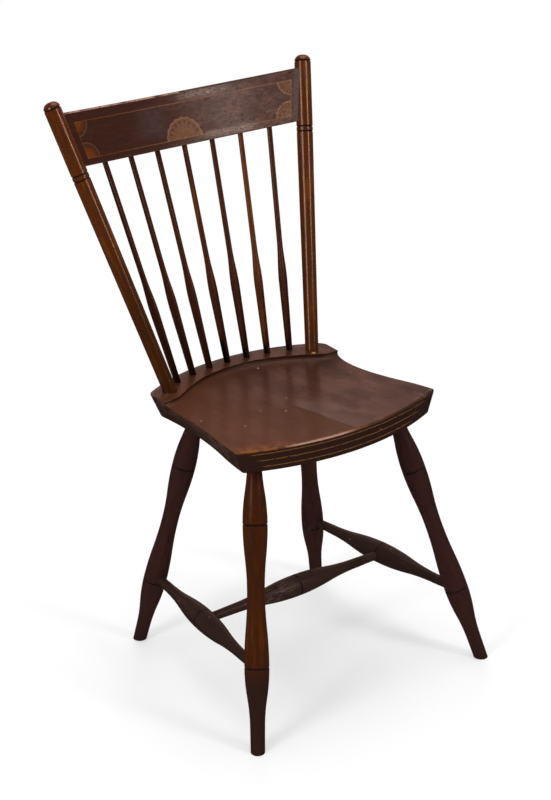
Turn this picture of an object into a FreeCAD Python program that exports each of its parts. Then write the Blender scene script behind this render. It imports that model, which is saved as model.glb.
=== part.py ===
import FreeCAD, Part
import math
import os
import re
import Sketcher
from FreeCAD import Vector

# Windsor side chair: plank seat, four bamboo-turned legs tied by three stretchers, and a back of
# two turned posts, seven spindles and a bent crest rail. Millimetres, +Z up, front towards -Y.
# The origin is on the floor, under the middle of the chair's outline.

SIZES = (
    # The seat
    ("seat_top", 433, "height of the platform that carries the back"),
    ("seat_thickness", 36, "plank thickness at the platform"),
    ("seat_corner_x", 181.8, "half the width at the front corners"),
    ("seat_corner_y", -157.8, "place of the front corners"),
    ("seat_front_bow", 39, "how far the front edge bows out between its corners"),
    ("seat_flank_in", 8.1, "side in from the front corner, where it turns hollow"),
    ("seat_flank_y", -97, "place where the side turns hollow"),
    ("seat_flank_bulge", 1, "rise of the side's full front part"),
    ("seat_back_in", 16.3, "side in from the front corner, at the rear corner before rounding"),
    ("seat_back_y", 90.5, "place of the rear corners, before rounding"),
    ("seat_back_bow", 48, "how far the rear edge bows out between its corners"),
    ("seat_side_undercut", 13, "how far the sides slope in to the underside"),
    ("seat_back_undercut", 8, "how far the rear edge slopes in to the underside"),
    ("seat_rear_corner", 18, "rounding of the rear corners seen from above"),
    ("seat_front_corner", 5, "rounding of the front corners seen from above"),
    ("seat_lower_edge", 4, "rounding of the lower edge"),
    ("seat_front_edge", 4, "rounding of the front edge's upper arris"),
    ("seat_side_edge", 1, "easing of the upper arrises at the sides"),
    ("platform_depth", 36.3, "depth of the platform at the middle"),
    ("saddle_line_radius", 190, "radius of the platform's front line"),
    ("platform_wing", 41.5, "platform's front line before the rear corners, towards the sides"),
    ("saddle_wing_blend", 14, "softness of the turn into that straight stretch"),
    ("saddle_step", 2, "height of the step down from the platform"),
    ("saddle_front_drop", 0.7, "front edge below the platform"),
    ("saddle_depth", 11.5, "depth of the saddle below its rim, at the middle"),
    ("saddle_side_depth", 7, "depth of the saddle below its rim, at the front corners' width"),
    # The legs
    ("front_socket_from_side", 53.8, "front legs in from the seat's front corner"),
    ("front_socket_from_front", 31, "front legs behind the seat's front corner"),
    ("front_splay_side", 85.5, "how far the front feet stand outside their sockets"),
    ("front_splay", 114.3, "how far the front feet stand before their sockets"),
    ("rear_socket_from_side", 66.5, "rear legs in from the seat's rear corner"),
    ("rear_socket_from_back", 31.3, "rear legs before the seat's rear corner"),
    ("rear_splay_side", 77, "how far the rear feet stand outside their sockets"),
    ("rear_splay", 72, "how far the rear feet stand behind their sockets"),
    ("leg_top_diameter", 21, "leg at the seat's underside"),
    ("leg_tip_diameter", 17.5, "end of the leg's taper, inside the seat"),
    ("leg_cover", 14, "platform down to the top of a leg's taper"),
    ("leg_swell_diameter", 36, "leg at its two scored swellings"),
    ("leg_waist_diameter", 25.5, "leg between its swellings"),
    ("leg_foot_diameter", 20.5, "leg at the floor"),
    ("leg_upper_score", 93, "seat to the upper score"),
    ("leg_waist", 188, "seat to the waist"),
    ("leg_lower_score", 299, "seat to the lower score"),
    ("leg_ankle", 388, "seat to the end of the lower swelling"),
    ("leg_ankle_diameter", 21.6, "leg at the end of the lower swelling"),
    # The stretchers
    ("stretcher_height", 114, "stretchers, above the floor"),
    ("stretcher_swell_diameter", 34, "stretcher at its scored middle"),
    ("stretcher_neck_diameter", 15.5, "stretcher at the ends of its swelling"),
    ("stretcher_end_diameter", 14.2, "stretcher in its sockets"),
    ("side_stretcher_neck", 47.36, "end of a side stretcher to its swelling"),
    ("middle_stretcher_neck", 58.42, "end of the middle stretcher to its swelling"),
    ("stretcher_past_axis", 5, "how far an end runs past the middle of what holds it"),
    ("stretcher_end_length", 30, "straight length of an end"),
    # The back posts
    ("post_from_side", 32.8, "posts in from the seat's rear corner, where they leave the seat"),
    ("post_from_back", 10.3, "posts before the seat's rear corner, where they leave the seat"),
    ("back_height", 417, "height above the seat of the groove under the posts' caps"),
    ("back_splay", 91.6, "how far that groove lies outside the post's foot"),
    ("back_lean", 138.8, "how far that groove lies behind the post's foot"),
    ("post_tip_diameter", 16, "end of the post's taper, under the seat"),
    ("post_foot_diameter", 20.8, "post at the seat"),
    ("post_top_diameter", 25.4, "post from its rings to its cap"),
    ("post_ring", 343.5, "seat to the middle of the two rings"),
    ("post_ring_gap", 7.8, "distance between the two rings"),
    ("post_cap_rise", 9.5, "height of the domed cap"),
    ("post_cap_fullness", 3.2, "how far the dome swells past a plain slope"),
    # The spindles
    ("spindle_from_post", 27.7, "outer spindles from the posts, at the seat"),
    ("spindle_top_from_post", 56.55, "outer spindles from the posts, at the crest rail"),
    ("spindle_from_back", 17.3, "middle spindle before the seat's rear edge"),
    ("spindle_row_radius", 300, "radius of the row of spindles at the seat"),
    ("spindle_foot_diameter", 10, "spindle at the seat"),
    ("spindle_knuckle_diameter", 13.6, "spindle at its swelling"),
    ("spindle_neck_diameter", 8.6, "spindle above its swelling"),
    ("spindle_top_diameter", 8.1, "spindle at the crest rail"),
    ("spindle_knuckle", 108, "seat to the fullest part of the swelling"),
    ("spindle_neck", 172, "seat to the end of the swelling"),
    ("spindle_cover", 14, "wood left under a spindle's foot"),
    ("spindle_top_tenon", 15, "length inside the crest rail"),
    # The crest rail
    ("crest_below_cap", 8.5, "rail's upper edge below the caps' groove, along the lean of the back"),
    ("crest_width", 81, "rail's width, along the lean of the back"),
    ("crest_thickness", 14, "rail's thickness"),
    ("crest_bow", 31.5, "how far the rail bends back at the middle"),
    ("crest_top_edge", 2.6, "chamfer of the upper arrises"),
    ("crest_lower_edge", 1, "chamfer of the lower arrises"),
    ("crest_let_in", 3, "how far the full rail is let into a post"),
    ("crest_haunch", 10, "tenon set in from the rail's edges"),
    ("crest_past_axis", 4, "how far the tenon runs past the post's middle"),
    # Pegs and wedges
    ("peg_diameter", 5, "peg through a post and the rail's tenon"),
    ("peg_length", 21, "peg length"),
    ("peg_chamfer", 0.8, "chamfer at the peg's driven end"),
    ("wedge_length", 26, "wedge driven into a post's foot"),
    ("wedge_thick_end", 3.4, "wedge at the underside"),
    ("wedge_thin_end", 1, "wedge at its thin end"),
    ("wedge_width", 12.5, "wedge across the post"),
    # Shared
    ("score_width", 2.4, "width of a scored line"),
    ("score_depth", 1.3, "depth of a scored line"),
    ("clearance", 0.15, "glue line between a tenon and its socket"),
    ("overrun", 8, "how far a socket's cutter runs out of the wood"),
)

doc = FreeCAD.newDocument("windsor_chair")
sheet = doc.addObject("Spreadsheet::Sheet", "Sizes")
for row, (alias, size, meaning) in enumerate(SIZES, start=1):
    sheet.set(f"A{row}", alias)
    sheet.set(f"B{row}", str(size))
    sheet.set(f"C{row}", meaning)
    sheet.setAlias(f"B{row}", alias)
doc.recompute()


def size(alias):
    """The value of one cell, in millimetres."""
    return float(getattr(sheet, alias))


ALIASES = {alias for alias, number, meaning in SIZES}
WORD = re.compile(r"(?<![\w.])[a-z_]+(?![\w(])")


def term(text):
    """A bracketed expression, in which each plain alias is turned into its cell's full name."""
    return "(" + WORD.sub(lambda word: full_name(word[0]), text) + ")"


def full_name(word):
    return "Sizes." + word if word in ALIASES else word


# Sketches

def new_body(name):
    body = doc.addObject("PartDesign::Body", name)
    body.Label = name
    return body


def origin_plane(body, role):
    return next(item for item in body.Origin.OriginFeatures if item.Role == role)


class Outline:
    """A closed outline in one sketch. Each corner is given by two expressions."""

    def __init__(self, body, name, role, height=None):
        self.sketch = body.newObject("Sketcher::SketchObject", name)
        self.sketch.AttachmentSupport = [(origin_plane(body, role), "")]
        self.sketch.MapMode = "FlatFace"
        if height:
            self.sketch.setExpression("AttachmentOffset.Base.z", term(height))
        self.restart()

    def restart(self):
        """Begin one more closed loop in the same sketch."""
        self.first = None
        self.last = None

    def number(self, text):
        return float(self.sketch.evalExpression(text))

    def start(self, across, up):
        self.corner = (term(across), term(up))

    def end_near(self, edge, place):
        """Which end of an edge lies at a place: 1 for its start, 2 for its finish."""
        gaps = [(self.sketch.getPoint(edge, end) - place).Length for end in (1, 2)]
        return 1 if gaps[0] <= gaps[1] else 2

    def fix(self, edge, end, corner):
        """Tie one point to its two expressions. A plain zero means that it lies on the axis."""
        for kind, axis, text in (("DistanceX", -2, corner[0]), ("DistanceY", -1, corner[1])):
            if text == "(0)":
                self.sketch.addConstraint(Sketcher.Constraint("PointOnObject", edge, end, axis))
                continue
            bound = Sketcher.Constraint(kind, -1, 1, edge, end, self.number(text))
            index = self.sketch.addConstraint(bound)
            self.sketch.setExpression(f"Constraints[{index}]", text)

    def place(self, corner):
        return Vector(self.number(corner[0]), self.number(corner[1]), 0)

    def add(self, shape, corner):
        """Add an edge from the present corner to the next, and join it to the one before."""
        edge = self.sketch.addGeometry(shape, False)
        begin = self.end_near(edge, self.place(self.corner))
        finish = 3 - begin
        if self.last is None:
            self.fix(edge, begin, self.corner)
            self.first = (edge, begin, self.corner)
        else:
            join = Sketcher.Constraint("Coincident", self.last[0], self.last[1], edge, begin)
            self.sketch.addConstraint(join)
        if corner == self.first[2]:
            close = Sketcher.Constraint("Coincident", edge, finish, self.first[0], self.first[1])
            self.sketch.addConstraint(close)
        else:
            self.fix(edge, finish, corner)
        self.last = (edge, finish)
        self.corner = corner
        return edge

    def line_to(self, across, up):
        corner = (term(across), term(up))
        self.add(Part.LineSegment(self.place(self.corner), self.place(corner)), corner)

    def arc_to(self, across, up, rise):
        """An arc that swells by rise to the right of the way it is drawn."""
        before = self.corner
        corner = (term(across), term(up))
        rise = term(rise)
        begin, finish = self.place(before), self.place(corner)
        chord = finish - begin
        right = Vector(chord.y, -chord.x, 0).normalize()
        middle = (begin + finish) * 0.5 + right * self.number(rise)
        edge = self.add(Part.Arc(begin, middle, finish), corner)
        span = f"(({corner[0]} - {before[0]})^2 + ({corner[1]} - {before[1]})^2)"
        radius = f"{span} / (8 * abs({rise})) + abs({rise}) / 2"
        bound = Sketcher.Constraint("Radius", edge, self.number(radius))
        index = self.sketch.addConstraint(bound)
        self.sketch.setExpression(f"Constraints[{index}]", radius)

    def ogee_to(self, across, up):
        """Two equal arcs, hollow and full, that run along the turning axis at both ends."""
        before = self.corner
        corner = (term(across), term(up))
        half = (f"({before[0]} + {corner[0]}) / 2", f"({before[1]} + {corner[1]}) / 2")
        begin, middle, finish = self.place(before), self.place(half), self.place(corner)
        step = finish - begin
        radius = (step.x ** 2 + step.y ** 2) / (4 * abs(step.x))
        inward = math.copysign(radius, step.x)
        for station, far, centre_x in ((begin, middle, begin.x + inward), (middle, finish, finish.x - inward)):
            level = begin.y if station is begin else finish.y
            centre = Vector(centre_x, level, 0)
            out = (station + far) * 0.5 - centre
            on_arc = centre + out.normalize() * radius
            edge = self.add(Part.Arc(station, on_arc, far), half if station is begin else corner)
            resting = self.end_near(edge, begin if station is begin else finish)
            self.sketch.addConstraint(Sketcher.Constraint("Horizontal", edge, 3, edge, resting))

    def close(self):
        self.line_to_corner(self.first[2])

    def line_to_corner(self, corner):
        self.add(Part.LineSegment(self.place(self.corner), self.place(corner)), corner)


# Places in space: a point is three expressions

def point(across, along, up):
    return (term(across), term(along), term(up))


def between(start, finish, back="0"):
    """A placement whose +Z runs from start to finish, with its origin a little way back."""
    run = [f"({b} - {a})" for a, b in zip(start, finish)]
    reach = distance(start, finish)
    base = [f"{a} - {r} * {term(back)} / {reach}" for a, r in zip(start, run)]
    axis = f"vector(-{run[1]}; {run[0]}; 0)"
    angle = f"atan2(hypot({run[0]}; {run[1]}); {run[2]})"
    return f"placement(vector({base[0]}; {base[1]}; {base[2]}); rotation({axis}; {angle}))"


def distance(start, finish):
    squares = " + ".join(f"({b} - {a})^2" for a, b in zip(start, finish))
    return f"sqrt({squares})"


def along(piece, lift):
    """The placement of a piece, moved along its own +Z."""
    lifted = f"placement(vector(0; 0; {term(lift)}); rotation(vector(0; 0; 1); 0))"
    return f"{piece.Name}.Placement * {lifted}"


# Turned work and the cutters for its sockets

def turned(name, stations, placement, scores=()):
    """Turn a piece: stations are (kind, distance, diameter), scores are (distance, diameter).

    A dome's third value is its fullness, and it ends on the axis."""
    body = new_body(name)
    outline = Outline(body, name + "_outline", "XZ_Plane")
    kind, where, diameter = stations[0]
    outline.start("0", where)
    outline.line_to(f"({diameter}) / 2", where)
    for kind, where, diameter in stations[1:]:
        if kind == "line":
            outline.line_to(f"({diameter}) / 2", where)
        elif kind == "ogee":
            outline.ogee_to(f"({diameter}) / 2", where)
        else:
            outline.arc_to("0", where, diameter)
    if kind != "dome":
        outline.line_to("0", where)
    outline.close()
    turning = body.newObject("PartDesign::Revolution", name + "_turning")
    turning.Profile = outline.sketch
    turning.ReferenceAxis = (outline.sketch, ["V_Axis"])
    turning.Angle = 360
    if scores:
        score_lines(body, name, turning, scores)
    body.setExpression("Placement", placement)
    return body


def score_lines(body, name, turning, scores):
    """Score fine lines round a turned piece."""
    tool = Outline(body, name + "_scores", "XZ_Plane")
    for where, diameter in scores:
        tool.restart()
        tool.start(f"({diameter}) / 2 - score_depth", where)
        tool.line_to(f"({diameter}) / 2 + score_depth", f"{where} - score_width")
        tool.line_to(f"({diameter}) / 2 + score_depth", f"{where} + score_width")
        tool.close()
    groove = body.newObject("PartDesign::Groove", name + "_groove")
    groove.Profile = tool.sketch
    groove.ReferenceAxis = (tool.sketch, ["V_Axis"])
    groove.Angle = 360
    doc.recompute()
    assert groove.Shape.Volume < turning.Shape.Volume, name + " is not scored"


def bore(name, piece, begin, finish, diameter):
    """A round cutter on a piece's axis, one clearance larger than what it holds."""
    tool = doc.addObject("Part::Cylinder", name)
    tool.setExpression("Radius", term(f"({diameter}) / 2 + clearance"))
    tool.setExpression("Height", term(f"({finish}) - ({begin})"))
    tool.setExpression("Placement", along(piece, begin))
    return tool


def taper(name, piece, tip_diameter, mouth_diameter, tenon):
    """A tapered cutter on a piece's axis, carried on past the mouth at the same slope."""
    slope = f"({mouth_diameter} - {tip_diameter}) / 2 / ({tenon})"
    tool = doc.addObject("Part::Cone", name)
    tool.setExpression("Radius1", term(f"{tip_diameter} / 2 + clearance"))
    tool.setExpression("Radius2", term(f"{mouth_diameter} / 2 + clearance + ({slope}) * overrun"))
    tool.setExpression("Height", term(f"{tenon} + overrun + clearance"))
    tool.setExpression("Placement", along(piece, "-1 * clearance"))
    return tool


def cut(name, base, tools):
    """A named sub-part: a piece with its sockets cut."""
    tool = tools[0]
    if len(tools) > 1:
        tool = doc.addObject("Part::MultiFuse", name + "_cutters")
        tool.Shapes = tools
    piece = doc.addObject("Part::Cut", name)
    piece.Label = name
    piece.Base = base
    piece.Tool = tool
    return piece


def edge_numbers(shape, test):
    """Numbers of the edges whose middle point passes a test."""
    chosen = []
    for number, edge in enumerate(shape.Edges, start=1):
        first, last = edge.ParameterRange
        if test(edge.valueAt((first + last) / 2), edge):
            chosen.append(number)
    return chosen


SIDES = (("left", "-1"), ("right", "1"))
UNDERSIDE = "seat_top - seat_thickness"
FLANK_X = "(seat_corner_x - seat_flank_in)"
BACK_X = "(seat_corner_x - seat_back_in)"
BACK_EDGE = "(seat_back_y + seat_back_bow)"
subparts = []


# Legs

LEG_TENON = "(seat_thickness - leg_cover)"
LEG_SOCKETS = {
    "front": ("seat_corner_x - front_socket_from_side", "seat_corner_y + front_socket_from_front", "-1"),
    "rear": (f"{BACK_X} - rear_socket_from_side", "seat_back_y - rear_socket_from_back", "1"),
}


def leg_axis(end, sign, height):
    """The point where a leg's axis passes a height."""
    share = f"(1 - ({height}) / ({UNDERSIDE}))"
    socket_x, socket_y, away = LEG_SOCKETS[end]
    across = f"{sign} * ({socket_x} + {end}_splay_side * {share})"
    deep = f"{socket_y} + {away} * {end}_splay * {share}"
    return point(across, deep, height)


def turn_leg(end, side, sign):
    """A leg, measured from the tip of its taper. The foot is left long, to be sawn level."""
    socket = leg_axis(end, sign, UNDERSIDE)
    foot = leg_axis(end, sign, "0")
    stations = (
        ("start", "0", "leg_tip_diameter"),
        ("line", LEG_TENON, "leg_top_diameter"),
        ("ogee", f"{LEG_TENON} + leg_upper_score", "leg_swell_diameter"),
        ("ogee", f"{LEG_TENON} + leg_waist", "leg_waist_diameter"),
        ("ogee", f"{LEG_TENON} + leg_lower_score", "leg_swell_diameter"),
        ("ogee", f"{LEG_TENON} + leg_ankle", "leg_ankle_diameter"),
        ("line", f"{LEG_TENON} + max({distance(socket, foot)}; leg_ankle) + leg_foot_diameter / 2",
         "leg_foot_diameter"),
    )
    scores = (
        (f"{LEG_TENON} + leg_upper_score", "leg_swell_diameter"),
        (f"{LEG_TENON} + leg_lower_score", "leg_swell_diameter"),
    )
    name = f"leg_{end}_{side}_turned"
    return turned(name, stations, between(socket, foot, LEG_TENON), scores)


# Stretchers

def turn_stretcher(name, start, finish, neck):
    """A stretcher from one axis to another, scored at its middle."""
    span = distance(start, finish)
    middle = f"stretcher_past_axis + {span} / 2"
    whole = f"{span} + 2 * stretcher_past_axis"
    stations = (
        ("start", "0", "stretcher_end_diameter"),
        ("line", "stretcher_end_length", "stretcher_end_diameter"),
        ("line", neck, "stretcher_neck_diameter"),
        ("ogee", middle, "stretcher_swell_diameter"),
        ("ogee", f"{whole} - {neck}", "stretcher_neck_diameter"),
        ("line", f"{whole} - stretcher_end_length", "stretcher_end_diameter"),
        ("line", whole, "stretcher_end_diameter"),
    )
    scores = ((middle, "stretcher_swell_diameter"),)
    return turned(name, stations, between(start, finish, "stretcher_past_axis"), scores), whole


def stretcher_bores(name, piece, whole, holder_diameter):
    """The two sockets for a stretcher's ends, each run out of what holds it."""
    reach = f"stretcher_past_axis + {holder_diameter} / 2 + overrun"
    near = bore(name + "_near_socket", piece, "-1 * clearance", reach, "stretcher_end_diameter")
    far = bore(name + "_far_socket", piece, f"{whole} - ({reach})", f"{whole} + clearance",
               "stretcher_end_diameter")
    return near, far


legs = {}
for side, sign in SIDES:
    for end in ("front", "rear"):
        legs[end, side] = turn_leg(end, side, sign)

floor_block = doc.addObject("Part::Box", "floor_block")
floor_block.setExpression("Length", term("4 * seat_corner_x"))
floor_block.setExpression("Width", term("4 * seat_corner_x"))
floor_block.setExpression("Height", term("leg_ankle"))
floor_corner = term("-2 * seat_corner_x")
floor_block.setExpression(
    "Placement",
    f"placement(vector({floor_corner}; {floor_corner}; {term('-1 * leg_ankle')});"
    " rotation(vector(0; 0; 1); 0))")

side_middle = {}
side_stretchers = {}
for side, sign in SIDES:
    rear = leg_axis("rear", sign, "stretcher_height")
    front = leg_axis("front", sign, "stretcher_height")
    name = f"side_stretcher_{side}"
    turning, whole = turn_stretcher(name + "_turned", rear, front, "side_stretcher_neck")
    rear_socket, front_socket = stretcher_bores(name, turning, whole, "leg_swell_diameter")
    for end, socket in (("rear", rear_socket), ("front", front_socket)):
        subparts.append(cut(f"leg_{end}_{side}", legs[end, side], [floor_block, socket]))
    side_stretchers[side] = turning
    side_middle[side] = tuple(f"({a} + {b}) / 2" for a, b in zip(rear, front))

middle_turning, whole = turn_stretcher(
    "middle_stretcher", side_middle["left"], side_middle["right"], "middle_stretcher_neck")
middle_sockets = stretcher_bores("middle_stretcher", middle_turning, whole, "stretcher_swell_diameter")
subparts.append(middle_turning)
for (side, sign), socket in zip(SIDES, middle_sockets):
    subparts.append(cut(f"side_stretcher_{side}", side_stretchers[side], [socket]))


# The back: a plane that leans, with heights along the lean and depths square to it

POST_X = f"({BACK_X} - post_from_side)"
POST_Y = "(seat_back_y - post_from_back)"
LEAN_LENGTH = "hypot(back_lean; back_height)"
CREST_RISE = f"({LEAN_LENGTH} - crest_below_cap - crest_width)"
CREST_MIDDLE = f"({LEAN_LENGTH} - crest_below_cap - crest_width / 2)"


def on_back(across, up, behind="0"):
    """A point up along the back's lean and square behind its plane."""
    deep = f"{POST_Y} + (back_lean * ({up}) + back_height * ({behind})) / {LEAN_LENGTH}"
    high = f"seat_top + (back_height * ({up}) - back_lean * ({behind})) / {LEAN_LENGTH}"
    return point(across, deep, high)


def post_x(up):
    """Half the distance between the posts' axes, at a height along the lean."""
    return f"({POST_X} + back_splay * ({up}) / {LEAN_LENGTH})"


CREST_RADIUS = f"(({post_x(CREST_MIDDLE)}^2 + crest_bow^2) / (2 * crest_bow))"


def bow(across, offset="0"):
    """How far the bent rail lies behind the back's plane, at a distance from the middle."""
    return f"(crest_bow - {CREST_RADIUS} + sqrt(({CREST_RADIUS} + {offset})^2 - ({across})^2))"


def crest_placement():
    origin = on_back("0", CREST_RISE)
    lean = f"atan2({term('back_lean')}; {term('back_height')})"
    return f"placement(vector(0; {origin[1]}; {origin[2]}); rotation(vector(1; 0; 0); -{lean}))"


def crest_blank(name, play):
    """The bent rail with a tenon at each end. Play widens it all round."""
    strip = new_body(name)
    bend = Outline(strip, name + "_bend", "XY_Plane", f"-1 * ({play})")
    reach = f"({post_x(LEAN_LENGTH)} + post_top_diameter)"
    half = f"(crest_thickness / 2 + ({play}))"
    front = bow(reach, f"-1 * {half}")
    rear = bow(reach, half)
    bend.start(f"-1 * {reach}", front)
    bend.arc_to(reach, front, f"{front} - crest_bow + {half}")
    bend.line_to(reach, rear)
    bend.arc_to(f"-1 * {reach}", rear, f"crest_bow + {half} - {rear}")
    bend.close()
    board = strip.newObject("PartDesign::Pad", name + "_board")
    board.Profile = bend.sketch
    board.setExpression("Length", term(f"crest_width + 2 * ({play})"))
    doc.recompute()
    eased_board = ease_crest(strip, name, board)

    ends = Outline(strip, name + "_ends", "XZ_Plane")
    low, high = f"(0 - ({play}))", f"(crest_width + ({play}))"
    haunch, shoulder = f"(crest_haunch - ({play}))", f"(crest_width - crest_haunch + ({play}))"
    inner = f"crest_let_in + ({play}) - post_top_diameter / 2"
    outer = f"crest_past_axis + ({play})"
    below, above = f"({low} - overrun)", f"({high} + overrun)"
    profile = (
        (below, inner), (haunch, inner), (haunch, outer),
        (shoulder, outer), (shoulder, inner), (above, inner),
    )
    for side, sign in SIDES:
        ends.restart()
        waste = [(f"{sign} * ({reach} + overrun)", above), (f"{sign} * ({reach} + overrun)", below)]
        for up, shift in profile:
            waste.append((f"{sign} * ({post_x(CREST_RISE + ' + ' + up)} + {shift})", up))
        ends.start(*waste[0])
        for across, up in waste[1:]:
            ends.line_to(across, up)
        ends.close()
    trimmed = strip.newObject("PartDesign::Pocket", name + "_trimmed")
    trimmed.Profile = ends.sketch
    trimmed.Type = "ThroughAll"
    trimmed.Midplane = True
    doc.recompute()
    assert trimmed.Shape.Volume < eased_board.Shape.Volume, name + " is not trimmed"
    strip.setExpression("Placement", crest_placement())
    return strip


def ease_crest(strip, name, before):
    """Plane off the rail's long arrises: the upper two well, the lower two a little."""
    middle = size("crest_width") / 2
    for label, above in (("top", True), ("lower", False)):
        numbers = edge_numbers(
            before.Shape,
            lambda place, edge: (place.z > middle) == above and edge.Length > 2 * size("crest_width"))
        edge = strip.newObject("PartDesign::Chamfer", f"{name}_{label}_edge")
        edge.Base = (before, [f"Edge{number}" for number in numbers])
        edge.setExpression("Size", term(f"crest_{label}_edge"))
        doc.recompute()
        before = edge
    return before


def turn_post(side, sign):
    foot = point(f"{sign} * {POST_X}", POST_Y, "seat_top")
    cap = point(f"{sign} * ({POST_X} + back_splay)", f"{POST_Y} + back_lean", "seat_top + back_height")
    length = distance(foot, cap)
    tenon = f"(seat_thickness * {length} / back_height + overrun)"
    stations = (
        ("start", "0", "post_tip_diameter"),
        ("line", tenon, "post_foot_diameter"),
        ("line", f"{tenon} + post_ring", "post_top_diameter"),
        ("line", f"{tenon} + {length} + score_width / 2", "post_top_diameter"),
        ("dome", f"{tenon} + {length} + post_cap_rise", "post_cap_fullness"),
    )
    scores = (
        (f"{tenon} + post_ring - post_ring_gap / 2", "post_top_diameter"),
        (f"{tenon} + post_ring + post_ring_gap / 2", "post_top_diameter"),
        (f"{tenon} + {length}", "post_top_diameter"),
    )
    body = turned(f"back_post_{side}_turned", stations, between(foot, cap, tenon), scores)
    return body, tenon


def shape_wedge(name, post, play):
    """A thin wedge on the post's axis, or with play the kerf that takes it."""
    body = new_body(name)
    outline = Outline(body, name + "_outline", "XZ_Plane")
    thick, thin = f"(wedge_thick_end / 2 + ({play}))", f"(wedge_thin_end / 2 + ({play}))"
    tip = f"wedge_length + ({play})"
    outline.start(f"-1 * {thick}", "0")
    outline.line_to(thick, "0")
    outline.line_to(thin, tip)
    outline.line_to(f"-1 * {thin}", tip)
    outline.close()
    pad = body.newObject("PartDesign::Pad", name + "_width")
    pad.Profile = outline.sketch
    pad.Midplane = True
    pad.setExpression("Length", term(f"wedge_width + 2 * ({play})"))
    body.setExpression("Placement", f"{post.Name}.Placement")
    return body


def shape_peg(side, sign):
    """A peg driven from behind, through the post and the rail's tenon."""
    head = on_back(f"{sign} * {post_x(CREST_MIDDLE)}", CREST_MIDDLE, "post_top_diameter / 2")
    tip = on_back(f"{sign} * {post_x(CREST_MIDDLE)}", CREST_MIDDLE, "post_top_diameter / 2 - peg_length")
    body = new_body(f"crest_peg_{side}")
    sketch = body.newObject("Sketcher::SketchObject", f"crest_peg_{side}_round")
    sketch.AttachmentSupport = [(origin_plane(body, "XY_Plane"), "")]
    sketch.MapMode = "FlatFace"
    sketch.addGeometry(Part.Circle(Vector(0, 0, 0), Vector(0, 0, 1), size("peg_diameter") / 2), False)
    sketch.addConstraint(Sketcher.Constraint("Coincident", 0, 3, -1, 1))
    sketch.addConstraint(Sketcher.Constraint("Diameter", 0, size("peg_diameter")))
    sketch.setExpression("Constraints[1]", term("peg_diameter"))
    pad = body.newObject("PartDesign::Pad", f"crest_peg_{side}_length")
    pad.Profile = sketch
    pad.setExpression("Length", term("peg_length"))
    doc.recompute()
    tips = edge_numbers(pad.Shape, lambda p, e: p.z > size("peg_length") / 2 and e.Closed)
    chamfer = body.newObject("PartDesign::Chamfer", f"crest_peg_{side}_tip")
    chamfer.Base = (pad, [f"Edge{number}" for number in tips])
    chamfer.setExpression("Size", term("peg_chamfer"))
    body.setExpression("Placement", between(head, tip))
    return body


below_seat = doc.addObject("Part::Box", "below_seat")
below_seat.setExpression("Length", term("4 * seat_corner_x"))
below_seat.setExpression("Width", term("4 * seat_corner_x"))
below_seat.setExpression("Height", term(UNDERSIDE))
below_corner = term("-2 * seat_corner_x")
below_seat.setExpression(
    "Placement", f"placement(vector({below_corner}; {below_corner}; 0); rotation(vector(0; 0; 1); 0))")

seat_sockets = []
crest_cutters = []
mortise = crest_blank("crest_mortise", "clearance")
for side, sign in SIDES:
    post, tenon = turn_post(side, sign)
    kerf = shape_wedge(f"wedge_kerf_{side}", post, "clearance")
    wedge = shape_wedge(f"post_wedge_{side}_blank", post, "0")
    peg = shape_peg(side, sign)
    peg_hole = bore(f"peg_hole_{side}", peg, "-1 * overrun", "peg_length + clearance", "peg_diameter")
    subparts.append(cut(f"back_post_{side}", post, [below_seat, mortise, kerf, peg_hole]))
    subparts.append(cut(f"post_wedge_{side}", wedge, [below_seat]))
    subparts.append(peg)
    crest_cutters.append(peg_hole)
    seat_sockets.append(taper(f"post_socket_{side}", post, "post_tip_diameter", "post_foot_diameter", tenon))


# Spindles, numbered from the left

SPINDLES = 7
SPINDLE_TENON = "(seat_thickness - spindle_cover)"
for number in range(1, SPINDLES + 1):
    share = (2 * number - SPINDLES - 1) / (SPINDLES - 1)
    low_x = f"({share} * ({POST_X} - spindle_from_post))"
    top_x = f"({share} * ({post_x(CREST_RISE)} - spindle_top_from_post))"
    row = f"{BACK_EDGE} - spindle_from_back - spindle_row_radius + sqrt(spindle_row_radius^2 - {low_x}^2)"
    low = point(low_x, row, "seat_top")
    top = on_back(top_x, CREST_RISE, bow(top_x))
    length = distance(low, top)
    stations = (
        ("start", "0", "spindle_foot_diameter"),
        ("line", SPINDLE_TENON, "spindle_foot_diameter"),
        ("line", f"{SPINDLE_TENON} + spindle_knuckle", "spindle_knuckle_diameter"),
        ("ogee", f"{SPINDLE_TENON} + spindle_neck", "spindle_neck_diameter"),
        ("line", f"{SPINDLE_TENON} + {length}", "spindle_top_diameter"),
        ("line", f"{SPINDLE_TENON} + {length} + spindle_top_tenon", "spindle_top_diameter"),
    )
    spindle = turned(f"spindle_{number}", stations, between(low, top, SPINDLE_TENON))
    subparts.append(spindle)
    seat_sockets.append(bore(
        f"spindle_{number}_seat_socket", spindle,
        "-1 * clearance", f"{SPINDLE_TENON} + overrun", "spindle_foot_diameter"))
    crest_cutters.append(bore(
        f"spindle_{number}_crest_socket", spindle,
        f"{SPINDLE_TENON} + {length} - overrun",
        f"{SPINDLE_TENON} + {length} + spindle_top_tenon + clearance", "spindle_top_diameter"))

subparts.append(cut("crest_rail", crest_blank("crest_blank", "0"), crest_cutters))


# The seat

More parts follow.
